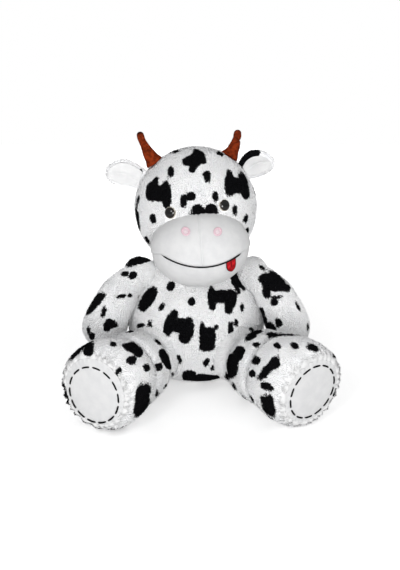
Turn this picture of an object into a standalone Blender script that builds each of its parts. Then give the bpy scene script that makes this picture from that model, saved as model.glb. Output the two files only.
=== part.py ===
"""A seated plush cow: stuffed torso, head, arms and legs, each a sewn cover over its own filling.

Units are metres and degrees. The toy faces -Y and sits on z = 0; its own left is +X.
A limb is a ball at its root, a drawn-in seam, then swells along a curved spine.
"""

import math

import bmesh
import bpy
import numpy as np
from mathutils import Matrix, Vector

# Fits and cloth
CLEARANCE = 0.0003
FLOOR_CUT = 0.0005
CUTTER_OVERRUN = 0.02
PLUSH_WALL = 0.003
SNOUT_WALL = 0.0025

# Torso
TORSO_HEIGHT = 0.228
TORSO_HALF_WIDTH = 0.1045
TORSO_LEAN = 0.022
TORSO_SWELL_SHARES = (0.98, 1.19, 0.96, 0.93)
TORSO_DEPTH_SHARES = (0.93, 0.95, 0.66)
TORSO_FULLNESS_SHARES = (0.52, 0.62)
TORSO_RINGS = 11
TORSO_SIDES = 20

# Head
HEAD_RADIUS = 0.1025
HEAD_RISE = 0.0745
HEAD_YAW_ANGLE = 2.6
HEAD_ROLL_ANGLE = 4.5
HEAD_RINGS = 12
HEAD_SIDES = 20

# Snout: upper panels above the mouth, chin panel below, sewn into one opening of the head
SNOUT_HALF_WIDTH = 0.082
SNOUT_HALF_DEPTH = 0.071
SNOUT_HALF_HEIGHT = 0.0645
SNOUT_FORWARD = 0.082
SNOUT_DROP = 0.050
CHIN_INSET = 0.0022
SNOUT_RINGS = 12
SNOUT_SIDES = 20
MOUTH_HALF_WIDTH = 0.063
MOUTH_DROP = 0.0115
MOUTH_RISE = 0.015
MOUTH_CORD_RADIUS = 0.0009
MOUTH_STEPS = 16
NOSTRIL_SIDE = 0.0245
NOSTRIL_RAISE = 0.040
NOSTRIL_RADIUS = 0.0048
NOSTRIL_CORD_RADIUS = 0.0013
NOSTRIL_STEPS = 12
TONGUE_SIDE = 0.048
TONGUE_WIDTH = 0.016
TONGUE_LENGTH = 0.021
TONGUE_THICKNESS = 0.0012
TONGUE_STEPS = 8
CORD_SIDES = 6

# Safety eyes: a domed head on a ribbed shank, locked behind the cover by a toothed washer
EYE_RADIUS = 0.0098
EYE_DOME_HEIGHT = 0.0058
EYE_FLANGE_THICKNESS = 0.0012
EYE_SEAT_DEPTH = 0.0022
EYE_GRIP = 0.0014
SHANK_RADIUS = 0.0020
SHANK_RIB_RADIUS = 0.0026
SHANK_LENGTH = 0.0150
SHANK_TIP_SHARE = 0.6
SHANK_PITCH = 0.0020
SHANK_RIB_WIDTH = 0.0007
EYE_SIDES = 16
EYE_DOME_STEPS = 5
EYE_AZIMUTH_ANGLE = 25.5
EYE_RAISE_ANGLES = {"right": 8.5, "left": 11.0}
WASHER_RADIUS = 0.0092
WASHER_THICKNESS = 0.0006
WASHER_RIM_WIDTH = 0.0014
WASHER_RIM_HEIGHT = 0.0008
WASHER_TOOTH_LENGTH = 0.0028
WASHER_TOOTH_SHARE = 0.62
WASHER_TOOTH_TIP_SHARE = 0.8
WASHER_TEETH = 6

# Horns
HORN_RAISE_ANGLE = 52.5
HORN_LENGTH = 0.052
HORN_BASE_RADIUS = 0.0145
HORN_TIP_RADIUS = 0.0050
HORN_LEAN_ANGLE = 68.0
HORN_BACK_ANGLES = {"right": 5.0, "left": 42.0}
HORN_STRAIGHT_SHARE = 0.4
HORN_ROOT_SWELL_SHARE = 1.12
HORN_MIDDLE_SWELL_SHARE = 0.62
HORN_TIP_ANGLES = (35.0, 65.0)
HORN_RINGS = 9
HORN_SIDES = 12

# Ears
EAR_RAISE_ANGLE = 33.0
EAR_SEAT_DEPTH = 0.0015
EAR_LIFT_ANGLES = {"right": 18.0, "left": 27.0}
EAR_TURN_ANGLES = {"right": 4.0, "left": 38.0}
EAR_BOW = 0.004
EAR_LENGTH = 0.062
EAR_WIDTH = 0.042
EAR_BASE_WIDTH = 0.034
EAR_CUP = 0.008
EAR_THICKNESS = 0.0055
EAR_SWELL_SHARES = (1.15, 1.25)
EAR_TIP_POWER = 4
EAR_TIP_EDGE_SHARE = 0.25
EAR_BACK_BEND_SHARE = 0.3
EAR_CUP_REACH_SHARE = 1.2
EAR_STATION_POWER = 0.85
EAR_TWIST_SHARE = 0.33
EAR_ROOT_ANGLES = (25.0, 57.0)
EAR_LINING_THICKNESS = 0.0014
EAR_BORDER = 0.0045
EAR_GROOVE_SIDES = 12
EAR_STEPS = 10
EAR_ACROSS = 6

# Arms
SHOULDER_DROP = 0.047
SHOULDER_TURN_ANGLE = 12.0
SHOULDER_SEAT_DEPTH = 0.0186
ARM_ROOT_RADIUS = 0.029
ARM_LENGTH = 0.147
ARM_MIDDLE_RADIUS = 0.0330
ARM_HAND_RADIUS = 0.0370
ARM_WAIST_ANGLE = 58.0
ARM_MIDDLE_SHARE = 0.42
ARM_HAND_SHARE = 0.74
ARM_SPREAD_ANGLES = {"right": 31.2, "left": 32.0}
ARM_FORWARD_ANGLES = {"right": 23.0, "left": 20.0}
ARM_RISE_ANGLE = 26.0
ARM_DROOP_ANGLE = 18.0
ARM_SIDES = 12
ARM_STEPS = (4, 2, 3)

# Legs
HIP_HEIGHT = 0.059
HIP_SPACING = 0.044
HIP_SEAT_DEPTH = 0.0106
LEG_ROOT_RADIUS = 0.050
LEG_LENGTH = 0.203
LEG_THIGH_RADIUS = 0.0600
LEG_ANKLE_RADIUS = 0.0625
LEG_FOOT_RADIUS = 0.0690
SOLE_RADIUS = 0.0535
SOLE_CROWN = 0.002
LEG_WAIST_ANGLE = 60.0
LEG_THIGH_SHARE = 0.36
LEG_ANKLE_SHARE = 0.55
LEG_FOOT_SHARE = 0.81
LEG_TURN_ANGLES = {"right": 23.5, "left": 31.5}
FOOT_TURN_ANGLE = 4.5
SOLE_PITCH_ANGLES = {"right": 1.0, "left": -8.0}
LEG_SIDES = 16
LEG_STEPS = (4, 2, 3)
FOOT_LOWERING_ROUNDS = 4
SOLE_RING_SHARES = (1.0, 0.5, 0.0)

# Tail
TAIL_HEIGHT = 0.060
TAIL_ROOT_RADIUS = 0.0095
TAIL_SEAT_DEPTH = 0.0060
TAIL_REACH = 0.058
TAIL_TUFT_RADIUS = 0.0130
TAIL_TUFT_LENGTH = 0.046
TAIL_WAIST_ANGLE = 42.0
TAIL_FLOOR_GAP = 0.0008
TAIL_SIDES = 10
TAIL_STEPS = (4, 7, 1)
TAIL_TUFT_LENGTH_SHARES = (0.0, 0.0, 0.22, 0.5, 0.78, 1.0)
TAIL_TUFT_RADIUS_SHARES = (0.0, 0.55, 0.9, 1.0, 0.6, 0.0)

# Limbs: a cover's first rings at the root are left out, and a spine ends straight for some walls
ROOT_OPENING_RINGS = 2
STRAIGHT_END_WALLS = 3
SOCKET_SEGMENTS = 16
BIG_SOCKET_SEGMENTS = 24

COLOURS = {
    "plush_white": ((0.86, 0.86, 0.87), 0.95, 0.0),
    "plush_black": ((0.012, 0.012, 0.014), 0.92, 0.0),
    "snout_plush": ((0.88, 0.86, 0.83), 0.9, 0.0),
    "filling": ((0.93, 0.93, 0.9), 0.98, 0.0),
    "horn_felt": ((0.24, 0.035, 0.012), 0.85, 0.0),
    "eye_glass": ((0.02, 0.012, 0.008), 0.06, 0.0),
    "washer_plastic": ((0.75, 0.75, 0.72), 0.4, 0.0),
    "nostril_thread": ((0.86, 0.58, 0.64), 0.6, 0.0),
    "mouth_thread": ((0.01, 0.01, 0.01), 0.6, 0.0),
    "tongue_felt": ((0.72, 0.02, 0.03), 0.8, 0.0),
    "sole_plush": ((0.88, 0.88, 0.88), 0.9, 0.0),
}
SIDES = {"right": -1.0, "left": 1.0}
UPWARDS = np.array((0.0, 0.0, 1.0))
BACKWARDS = np.array((0.0, 1.0, 0.0))
SHARP_ANGLE = 50.0


def clear_scene():
    for item in list(bpy.data.objects):
        bpy.data.objects.remove(item, do_unlink=True)


def material(name):
    """A Principled material named after its finish, made once."""
    found = bpy.data.materials.get(name)
    if found:
        return found
    colour, roughness, metallic = COLOURS[name]
    made = bpy.data.materials.new(name)
    made.use_nodes = True
    shader = made.node_tree.nodes["Principled BSDF"]
    shader.inputs["Base Color"].default_value = (*colour, 1.0)
    shader.inputs["Roughness"].default_value = roughness
    shader.inputs["Metallic"].default_value = metallic
    made.diffuse_color = (*colour, 1.0)
    return made


def mesh_object(name, points, faces, finish, parent=None):
    """An object from points given in its parent's frame."""
    mesh = bpy.data.meshes.new(name)
    mesh.from_pydata([tuple(point) for point in points], [], faces)
    mesh.validate()
    mesh.shade_smooth()
    mesh.set_sharp_from_angle(angle=math.radians(SHARP_ANGLE))
    made = bpy.data.objects.new(name, mesh)
    bpy.context.collection.objects.link(made)
    if finish:
        mesh.materials.append(material(finish))
    made.parent = parent
    return made


def pivot(name, matrix, parent=None):
    """An empty that marks a joint; matrix is its place in the world."""
    made = bpy.data.objects.new(name, None)
    bpy.context.collection.objects.link(made)
    made.parent = parent
    bpy.context.view_layer.update()
    made.matrix_world = matrix
    bpy.context.view_layer.update()
    return made


def frame_at(origin, x_axis, y_axis, z_axis):
    """The matrix of a frame from its origin and three unit axes."""
    made = Matrix.Identity(4)
    for column, axis in enumerate((x_axis, y_axis, z_axis)):
        made.col[column][:3] = tuple(axis)
    made.translation = tuple(origin)
    return made


def as_cutter(made):
    made.hide_render = True
    made.display_type = "WIRE"
    return made


def cut(target, *cutters):
    for cutter in cutters:
        step = target.modifiers.new("cut_" + cutter.name, "BOOLEAN")
        step.operation = "DIFFERENCE"
        step.solver = "EXACT"
        step.object = cutter


def join(target, other):
    step = target.modifiers.new("join_" + other.name, "BOOLEAN")
    step.operation = "UNION"
    step.solver = "EXACT"
    step.object = other


def ball_cutter(name, centre, radius, segments, parent=None):
    """A sphere whose flat facets, not its corners, lie at the radius, so that such a ball turns in it."""
    corner_radius = radius / math.cos(math.pi / segments) ** 2
    builder = bmesh.new()
    bmesh.ops.create_uvsphere(builder, u_segments=segments, v_segments=segments // 2, radius=corner_radius)
    mesh = bpy.data.meshes.new(name)
    builder.to_mesh(mesh)
    builder.free()
    made = bpy.data.objects.new(name, mesh)
    bpy.context.collection.objects.link(made)
    made.parent = parent
    made.location = tuple(centre)
    return as_cutter(made)


def block_cutter(name, low, high, parent=None):
    corners = [(x, y, z) for x in (low[0], high[0]) for y in (low[1], high[1]) for z in (low[2], high[2])]
    faces = [(0, 1, 3, 2), (4, 6, 7, 5), (0, 4, 5, 1), (2, 3, 7, 6), (0, 2, 6, 4), (1, 5, 7, 3)]
    return as_cutter(mesh_object(name, corners, faces, None, parent))


def bezier(controls, share):
    """De Casteljau's blend of control values or control points."""
    level = [np.asarray(control, float) for control in controls]
    while len(level) > 1:
        level = [first + (second - first) * share for first, second in zip(level, level[1:])]
    return level[0]


def unit(vector):
    vector = np.asarray(vector, float)
    return vector / np.linalg.norm(vector)


def inset_profile(profile, depth, flat_end=False):
    """The profile moved inwards by depth along its own normals; a pole moves along the axis."""
    along = np.array(profile, float)
    tangents = np.gradient(along, axis=0)
    normals = np.stack([-tangents[:, 1], tangents[:, 0]], axis=1)
    normals /= np.linalg.norm(normals, axis=1)[:, None]
    normals[0] = (-1.0, 0.0)
    if flat_end or along[-1][1] == 0:
        normals[-1] = (1.0, 0.0)
    moved = along - normals * depth
    moved[:, 1] = np.maximum(moved[:, 1], 0)
    return moved


def loft(profile, place_ring):
    """Rings of points, one for each (distance, radius) of the profile; a radius of 0 gives a pole."""
    return [place_ring(distance, radius) for distance, radius in profile]


def skin(rings, points, faces, inwards=False):
    """Adds the rings to points and joins neighbours. A one-point ring is a pole. Returns the rings' indices.

    Every quad is split along the same diagonal, so that nested surfaces stay parallel.
    """
    indices = []
    for ring in rings:
        indices.append(list(range(len(points), len(points) + len(ring))))
        points.extend(ring)
    for low, high in zip(indices, indices[1:]):
        count = max(len(low), len(high))
        for j in range(count):
            k = (j + 1) % count
            if len(low) == 1:
                added = [(low[0], high[k], high[j])]
            elif len(high) == 1:
                added = [(high[0], low[j], low[k])]
            else:
                added = [(low[j], low[k], high[k]), (low[j], high[k], high[j])]
            faces.extend(face[::-1] if inwards else face for face in added)
    return indices


def solid_of_rings(rings):
    """A closed solid; an end that is no pole is closed by a fan to its centre."""
    points, faces = [], []
    rings = list(rings)
    if len(rings[0]) > 1:
        rings.insert(0, [np.mean(rings[0], axis=0)])
    if len(rings[-1]) > 1:
        rings.append([np.mean(rings[-1], axis=0)])
    skin(rings, points, faces)
    return points, faces


def open_shell(outer, inner, open_end):
    """A wall between two sets of rings, open at the root and, if asked, at the end."""
    points, faces = [], []
    outside = skin(outer, points, faces)
    inside = skin(inner, points, faces, inwards=True)
    count = len(outside[0])
    for j in range(count):
        k = (j + 1) % count
        faces.append((outside[0][k], outside[0][j], inside[0][j], inside[0][k]))
        if open_end:
            faces.append((outside[-1][j], outside[-1][k], inside[-1][k], inside[-1][j]))
    return points, faces


def hollow_of_rings(outer, inner):
    """A wall between two closed surfaces; cutters open it afterwards."""
    points, faces = [], []
    skin(outer, points, faces)
    skin(inner, points, faces, inwards=True)
    return points, faces


def ring_in_plane(centre, across, upward, half_across, half_upward, sides):
    if half_across == 0:
        return [np.asarray(centre, float)]
    angles = np.arange(sides) * (2 * math.pi / sides)
    return list(
        np.asarray(centre, float)
        + np.outer(np.cos(angles) * half_across, across)
        + np.outer(np.sin(angles) * half_upward, upward)
    )


# Torso form


def torso_section(height):
    """Half width, half depth and centre's y of the torso at a height above the floor."""
    share = min(max((height + FLOOR_CUT) / (TORSO_HEIGHT + FLOOR_CUT), 0.0), 1.0)
    turn = math.acos(1 - 2 * share)
    fullness = float(bezier(TORSO_FULLNESS_SHARES, share))
    swell = float(bezier(TORSO_SWELL_SHARES, share))
    half_width = TORSO_HALF_WIDTH * swell * abs(math.sin(turn)) ** fullness
    return half_width, half_width * float(bezier(TORSO_DEPTH_SHARES, share)), TORSO_LEAN * share


def torso_profile():
    turns = np.linspace(0, math.pi, TORSO_RINGS + 1)
    heights = (1 - np.cos(turns)) / 2 * (TORSO_HEIGHT + FLOOR_CUT) - FLOOR_CUT
    radii = [torso_section(height)[0] for height in heights]
    radii[0] = radii[-1] = 0.0
    return list(zip(heights, radii))


def torso_ring(height, radius):
    share = min(max((height + FLOOR_CUT) / (TORSO_HEIGHT + FLOOR_CUT), 0.0), 1.0)
    depth_share = float(bezier(TORSO_DEPTH_SHARES, share))
    centre = (0.0, TORSO_LEAN * share, height)
    return ring_in_plane(centre, (1, 0, 0), (0, 1, 0), radius, radius * depth_share, TORSO_SIDES)


def torso_point(height, azimuth):
    """The torso's point at a height and an azimuth from its front towards +X, and the normal there."""

    def at(level, turn):
        half_width, half_depth, middle = torso_section(level)
        return np.array((half_width * math.sin(turn), middle - half_depth * math.cos(turn), level))

    turn, step = math.radians(azimuth), FLOOR_CUT
    upwards = at(height + step, turn) - at(height - step, turn)
    round_about = at(height, turn + math.radians(1)) - at(height, turn - math.radians(1))
    return at(height, turn), unit(np.cross(round_about, upwards))


def torso_surface(height, sideways):
    """The torso's front or back point at a height and an x, and the level direction out of it.

    sideways is x over the half width there; the point returned is the front one.
    """
    half_width, half_depth, middle = torso_section(height)
    x = sideways * half_width
    y = -half_depth * math.sqrt(max(1 - sideways**2, 0.0))
    outward = unit((x / half_width**2, y / half_depth**2, 0.0))
    return np.array((x, y + middle, height)), outward


# Limbs


def limb_profile(root_radius, waist_angle, stations, end, steps):
    """(distance, radius) along a limb from its root's pole.

    The root is a ball about the joint. It ends in the drawn-in seam at the waist angle from the limb's axis.
    Each station is a swell or a hollow reached by a smooth wave, and a quarter ellipse leads to the end.
    steps counts the rings of the ball, of each wave and of the ellipse.
    """
    arc_steps, swell_steps, end_steps = steps
    waist = math.radians(waist_angle)
    points = []
    for turn in np.linspace(0, math.pi - waist, arc_steps + 1):
        points.append((-root_radius * math.cos(turn), root_radius * math.sin(turn)))
    for distance, radius in stations:
        start, start_radius = points[-1]
        for share in np.arange(1, swell_steps + 1) / swell_steps:
            wave = (1 - math.cos(math.pi * share)) / 2
            there = start + (distance - start) * share
            points.append((there, start_radius + (radius - start_radius) * wave))
    start, start_radius = points[-1]
    for turn in np.arange(1, end_steps + 1) / end_steps * math.pi / 2:
        distance = start + (end[0] - start) * math.sin(turn)
        points.append((distance, end[1] + (start_radius - end[1]) * math.cos(turn)))
    points[-1] = end
    return points


def limb_path(root, direction, straight, end, finish_direction, length, reference):
    """A function of distance that gives the spine's point and its two cross axes.

    The spine is straight through the ball and the waist, then a Bezier curve, and straight again at its end.
    """
    last = STRAIGHT_END_WALLS * PLUSH_WALL
    leave, finish = root + direction * straight, end - finish_direction * last
    reach = (length - straight - last) / 3
    controls = (leave, leave + direction * reach, finish - finish_direction * reach, finish)
    slopes = [(second - first) * 3 for first, second in zip(controls, controls[1:])]

    def at(distance):
        if distance <= straight:
            centre, along = root + direction * distance, direction
        elif distance >= length - last:
            centre, along = end + finish_direction * (distance - length), finish_direction
        else:
            share = (distance - straight) / (length - straight - last)
            centre, along = bezier(controls, share), unit(bezier(slopes, share))
        across = unit(np.cross(reference, along))
        return centre, across, np.cross(along, across), along

    return at


def limb_rings(profile, path, sides):
    def place(distance, radius):
        centre, across, upward, _ = path(distance)
        return ring_in_plane(centre, across, upward, radius, radius, sides)

    return loft(profile, place)


def stuffed_limb(name, profile, path, sides, parent, open_end=False):
    """A plush cover, open at its root, and the filling inside it."""
    lining = inset_profile(profile, PLUSH_WALL, open_end)
    wad = inset_profile(profile, PLUSH_WALL + CLEARANCE, open_end)
    outer = limb_rings(profile, path, sides)[ROOT_OPENING_RINGS:]
    inner = limb_rings(lining, path, sides)[ROOT_OPENING_RINGS:]
    points, faces = open_shell(outer, inner, open_end)
    cover = mesh_object(name + "_cover", points, faces, "plush_white")
    points, faces = solid_of_rings(limb_rings(wad, path, sides))
    filling = mesh_object(name + "_filling", points, faces, "filling")
    for piece in (cover, filling):
        settle(piece, parent)
    return cover, filling


def settle(piece, parent):
    """Parents a piece made in world coordinates, moving its points into the parent's frame."""
    bpy.context.view_layer.update()
    piece.data.transform(parent.matrix_world.inverted())
    piece.parent = parent
    if parent.matrix_world.determinant() < 0:
        piece.data.flip_normals()


def shoulder(side):
    """The arm's pivot: its root ball rests in a dimple of the torso's side."""
    sign = SIDES[side]
    surface, outward = torso_point(TORSO_HEIGHT - SHOULDER_DROP, 90.0 - SHOULDER_TURN_ANGLE)
    centre = surface + outward * (ARM_ROOT_RADIUS - SHOULDER_SEAT_DEPTH)
    centre[0] *= sign
    return centre


def hip(side):
    """The leg's pivot, a little under the torso's front, so that the two root balls stay apart."""
    half_width = torso_section(HIP_HEIGHT)[0]
    x = LEG_ROOT_RADIUS + HIP_SPACING / 2
    surface, outward = torso_surface(HIP_HEIGHT, SIDES[side] * x / half_width)
    inside = surface - outward * HIP_SEAT_DEPTH
    inside[0] = SIDES[side] * x
    return inside


def arm(side):
    sign = SIDES[side]
    root = shoulder(side)
    forward = math.radians(ARM_FORWARD_ANGLES[side])

    def heading(spread_angle):
        spread, level = math.radians(spread_angle), math.cos(forward)
        return np.array((sign * math.sin(spread) * level, -math.sin(forward), -math.cos(spread) * level))

    start = heading(ARM_SPREAD_ANGLES[side] + ARM_RISE_ANGLE)
    finish = heading(ARM_SPREAD_ANGLES[side] - ARM_DROOP_ANGLE)
    straight = ARM_ROOT_RADIUS * math.cos(math.radians(ARM_WAIST_ANGLE))
    end_point = root + heading(ARM_SPREAD_ANGLES[side]) * ARM_LENGTH
    path = limb_path(root, start, straight, end_point, finish, ARM_LENGTH, unit(np.cross(start, finish)))
    stations = (
        (ARM_LENGTH * ARM_MIDDLE_SHARE, ARM_MIDDLE_RADIUS),
        (ARM_LENGTH * ARM_HAND_SHARE, ARM_HAND_RADIUS),
    )
    profile = limb_profile(ARM_ROOT_RADIUS, ARM_WAIST_ANGLE, stations, (ARM_LENGTH, 0.0), ARM_STEPS)
    joint = pivot(f"arm_{side}_pivot", Matrix.Translation(tuple(root)))
    stuffed_limb(f"arm_{side}", profile, path, ARM_SIDES, joint)
    return ball_cutter(f"shoulder_cutter_{side}", root, ARM_ROOT_RADIUS + CLEARANCE, SOCKET_SEGMENTS)


def leg(side):
    """The leg, lowered until its underside just reaches into the floor. Returns its cover and hip cutter."""
    sign = SIDES[side]
    root = hip(side)
    turn = math.radians(LEG_TURN_ANGLES[side])
    pitch = math.radians(SOLE_PITCH_ANGLES[side])
    start = np.array((sign * math.sin(turn), -math.cos(turn), 0.0))
    end_turn = math.radians(LEG_TURN_ANGLES[side] + FOOT_TURN_ANGLE)
    finish = np.array((
        sign * math.sin(end_turn) * math.cos(pitch),
        -math.cos(end_turn) * math.cos(pitch),
        math.sin(pitch),
    ))
    end_point = root + start * LEG_LENGTH
    end_point[2] = LEG_FOOT_RADIUS - FLOOR_CUT
    straight = LEG_ROOT_RADIUS * math.cos(math.radians(LEG_WAIST_ANGLE))
    stations = (
        (LEG_LENGTH * LEG_THIGH_SHARE, LEG_THIGH_RADIUS),
        (LEG_LENGTH * LEG_ANKLE_SHARE, LEG_ANKLE_RADIUS),
        (LEG_LENGTH * LEG_FOOT_SHARE, LEG_FOOT_RADIUS),
    )
    profile = limb_profile(LEG_ROOT_RADIUS, LEG_WAIST_ANGLE, stations, (LEG_LENGTH, SOLE_RADIUS), LEG_STEPS)
    for _ in range(FOOT_LOWERING_ROUNDS):
        path = limb_path(root, start, straight, end_point, finish, LEG_LENGTH, UPWARDS)
        end_point[2] -= lowest(limb_rings(profile, path, LEG_SIDES)) + FLOOR_CUT
    path = limb_path(root, start, straight, end_point, finish, LEG_LENGTH, UPWARDS)
    joint = pivot(f"leg_{side}_pivot", Matrix.Translation(tuple(root)))
    cover, _ = stuffed_limb(f"leg_{side}", profile, path, LEG_SIDES, joint, open_end=True)
    sole(side, path, joint)
    return cover, ball_cutter(f"hip_cutter_{side}", root, LEG_ROOT_RADIUS + CLEARANCE, SOCKET_SEGMENTS)


def lowest(rings):
    return min(float(point[2]) for ring in rings for point in ring)


def sole(side, path, parent):
    """A round panel that closes the foot, as thick as the cover and gently crowned."""
    fit = SOLE_RADIUS - CLEARANCE / math.cos(math.pi / LEG_SIDES)
    profile = [(-PLUSH_WALL, 0.0), (-PLUSH_WALL, fit)]
    profile += [(SOLE_CROWN * (1 - share**2), fit * share) for share in SOLE_RING_SHARES]
    centre, across, upward, along = path(LEG_LENGTH)
    rings = [
        ring_in_plane(centre + along * proud, across, upward, radius, radius, LEG_SIDES)
        for proud, radius in profile
    ]
    points, faces = solid_of_rings(rings)
    settle(mesh_object(f"sole_{side}", points, faces, "sole_plush"), parent)


# Tail


def tail():
    """A thin stuffed cord from the back, bent down to the floor, with a tuft at its end."""
    _, half_depth, middle = torso_section(TAIL_HEIGHT)
    back = middle + half_depth + TAIL_ROOT_RADIUS - TAIL_SEAT_DEPTH
    root = np.array((0.0, back, TAIL_HEIGHT))
    end_point = root + BACKWARDS * TAIL_REACH
    end_point[2] = TAIL_TUFT_RADIUS + TAIL_FLOOR_GAP
    length = float(np.linalg.norm(end_point - root))
    straight = TAIL_ROOT_RADIUS * math.cos(math.radians(TAIL_WAIST_ANGLE))
    path = limb_path(root, BACKWARDS, straight, end_point, BACKWARDS, length, np.array((1.0, 0.0, 0.0)))
    waist_radius = TAIL_ROOT_RADIUS * math.sin(math.radians(TAIL_WAIST_ANGLE))
    stations = ((length, waist_radius),)
    profile = limb_profile(TAIL_ROOT_RADIUS, TAIL_WAIST_ANGLE, stations, (length, 0.0), TAIL_STEPS)
    joint = pivot("tail_pivot", Matrix.Translation(tuple(root)))
    points, faces = solid_of_rings(limb_rings(profile[:-1], path, TAIL_SIDES))
    settle(mesh_object("tail", points, faces, "plush_white"), joint)
    start = end_point + BACKWARDS * CLEARANCE
    rings = []
    for share, swell in zip(TAIL_TUFT_LENGTH_SHARES, TAIL_TUFT_RADIUS_SHARES):
        centre = start + BACKWARDS * (TAIL_TUFT_LENGTH * share)
        radius = TAIL_TUFT_RADIUS * swell
        rings.append(ring_in_plane(centre, (1, 0, 0), (0, 0, -1), radius, radius, TAIL_SIDES))
    points, faces = solid_of_rings(rings)
    settle(mesh_object("tail_tuft", points, faces, "plush_black"), joint)
    return ball_cutter("tail_cutter", root, TAIL_ROOT_RADIUS + CLEARANCE, SOCKET_SEGMENTS // 2)


# Head, in its own frame: origin at the head's centre, its face towards local -Y


def head_frame():
    yaw = Matrix.Rotation(math.radians(HEAD_YAW_ANGLE), 4, "Z")
    roll = Matrix.Rotation(-math.radians(HEAD_ROLL_ANGLE), 4, "Y")
    return Matrix.Translation((0.0, 0.0, TORSO_HEIGHT + HEAD_RISE)) @ yaw @ roll


def sphere_rings(radius, rings, sides, turning=False):
    """Rings of a ball about local Z. With turning, its flats take in such a ball turned anyhow about Z."""
    stretch = 1 / math.cos(math.pi / sides) if turning else 1.0
    profile = [
        (-radius * math.cos(turn), radius * math.sin(turn)) for turn in np.linspace(0, math.pi, rings + 1)
    ]
    profile[0], profile[-1] = (-radius, 0.0), (radius, 0.0)
    return loft(
        profile, lambda z, r: ring_in_plane((0, 0, z), (1, 0, 0), (0, 1, 0), r * stretch, r * stretch, sides)
    )


def snout_rings(shrink):
    """Rings of the snout's ellipsoid about its fore-and-aft axis, shrunk all round by a length."""
    half = np.array((SNOUT_HALF_WIDTH, SNOUT_HALF_DEPTH, SNOUT_HALF_HEIGHT)) - shrink
    rings = []
    for turn in np.linspace(0, math.pi, SNOUT_RINGS + 1):
        radius = abs(math.sin(turn))
        if turn in (0, math.pi):
            radius = 0.0
        centre = (0.0, -SNOUT_FORWARD + half[1] * math.cos(turn), -SNOUT_DROP)
        rings.append(
            ring_in_plane(centre, (1, 0, 0), (0, 0, 1), half[0] * radius, half[2] * radius, SNOUT_SIDES)
        )
    return rings


def snout_front(x, z, proud):
    """The point of the snout's front at x and z from its centre, raised by proud along the normal."""
    half = np.array((SNOUT_HALF_WIDTH, SNOUT_HALF_DEPTH, SNOUT_HALF_HEIGHT))
    y = -half[1] * math.sqrt(max(1 - (x / half[0]) ** 2 - (z / half[2]) ** 2, 0.0))
    normal = unit(np.array((x, y, z)) / half**2)
    point = np.array((x, y - SNOUT_FORWARD, z - SNOUT_DROP)) + normal * proud
    return point, normal


def mouth_height(x):
    """The mouth's height above the snout's centre: a smile, lowest in the middle."""
    return -MOUTH_DROP + MOUTH_RISE * (x / MOUTH_HALF_WIDTH) ** 2


def mouth_cutter(name, below, gap, parent):
    """A prism that fills all the space below, or above, the mouth's curved sheet, moved away by gap."""
    half = SNOUT_HALF_WIDTH + CUTTER_OVERRUN
    sign = -1.0 if below else 1.0
    xs = np.linspace(-half, half, MOUTH_STEPS * 2 + 1)
    edge = [(x, mouth_height(x) - SNOUT_DROP + sign * gap) for x in xs]
    far = sign * (SNOUT_HALF_HEIGHT * 2 + CUTTER_OVERRUN) - SNOUT_DROP
    if not below:
        far += mouth_height(half)
    outline = edge + [(half, far), (-half, far)]
    front = -SNOUT_FORWARD - SNOUT_HALF_DEPTH - CUTTER_OVERRUN
    points = [(x, front, z) for x, z in outline] + [(x, CUTTER_OVERRUN, z) for x, z in outline]
    count = len(outline)
    faces = [tuple(range(count)), tuple(range(2 * count - 1, count - 1, -1))]
    faces += [(j, j + count, (j + 1) % count + count, (j + 1) % count) for j in range(count)]
    return as_cutter(face_outwards(mesh_object(name, points, faces, None, parent)))


def face_outwards(made):
    builder = bmesh.new()
    builder.from_mesh(made.data)
    bmesh.ops.recalc_face_normals(builder, faces=builder.faces)
    builder.to_mesh(made.data)
    builder.free()
    return made


def tube_solid(centres, radius, sides, closed=False):
    """A round cord along centres; its ends are closed by fans, or it is a ring."""
    centres = [np.asarray(centre, float) for centre in centres]
    count = len(centres)
    rings = []
    for i, centre in enumerate(centres):
        before = centres[(i - 1) % count] if closed or i else centre
        after = centres[(i + 1) % count] if closed or i < count - 1 else centre
        along = unit(after - before)
        across = unit(np.cross((0.0, 1.0, 0.0) if abs(along[1]) < 0.9 else (0.0, 0.0, 1.0), along))
        rings.append(ring_in_plane(centre, across, np.cross(along, across), radius, radius, sides))
    if not closed:
        return solid_of_rings(rings)
    points, faces = [], []
    skin(rings + [rings[0]], points, faces)
    total = count * sides
    faces = [tuple(index % total if index >= total else index for index in face) for face in faces]
    return points[:total], faces


def snout(head):
    """The two sewn snout pieces, the mouth's cord in their step, the nostril rings and the tongue."""
    outer, inner = snout_rings(0.0), snout_rings(SNOUT_WALL)
    points, faces = hollow_of_rings(outer, inner)
    upper = mesh_object("snout_cover", points, faces, "snout_plush", head)
    chin_outer, chin_inner = snout_rings(CHIN_INSET), snout_rings(CHIN_INSET + SNOUT_WALL)
    points, faces = hollow_of_rings(chin_outer, chin_inner)
    chin = mesh_object("chin_cover", points, faces, "snout_plush", head)
    within = HEAD_RADIUS - PLUSH_WALL
    within_head = ball_cutter("snout_root_cutter", (0, 0, 0), within, BIG_SOCKET_SEGMENTS, head)
    cut(upper, within_head, mouth_cutter("below_mouth_cutter", True, 0.0, head))
    cut(chin, within_head, mouth_cutter("above_mouth_cutter", False, -CLEARANCE, head))
    step_drop = MOUTH_CORD_RADIUS + CLEARANCE * 2
    centres = []
    for x in np.linspace(-MOUTH_HALF_WIDTH, MOUTH_HALF_WIDTH, MOUTH_STEPS + 1):
        proud = MOUTH_CORD_RADIUS + CLEARANCE * 2 - CHIN_INSET
        centres.append(snout_front(x, mouth_height(x) - step_drop, proud)[0])
    points, faces = tube_solid(centres, MOUTH_CORD_RADIUS, CORD_SIDES)
    mesh_object("mouth_cord", points, faces, "mouth_thread", head)
    for side, sign in SIDES.items():
        nostril(side, sign, head)
    tongue(head)


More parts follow.
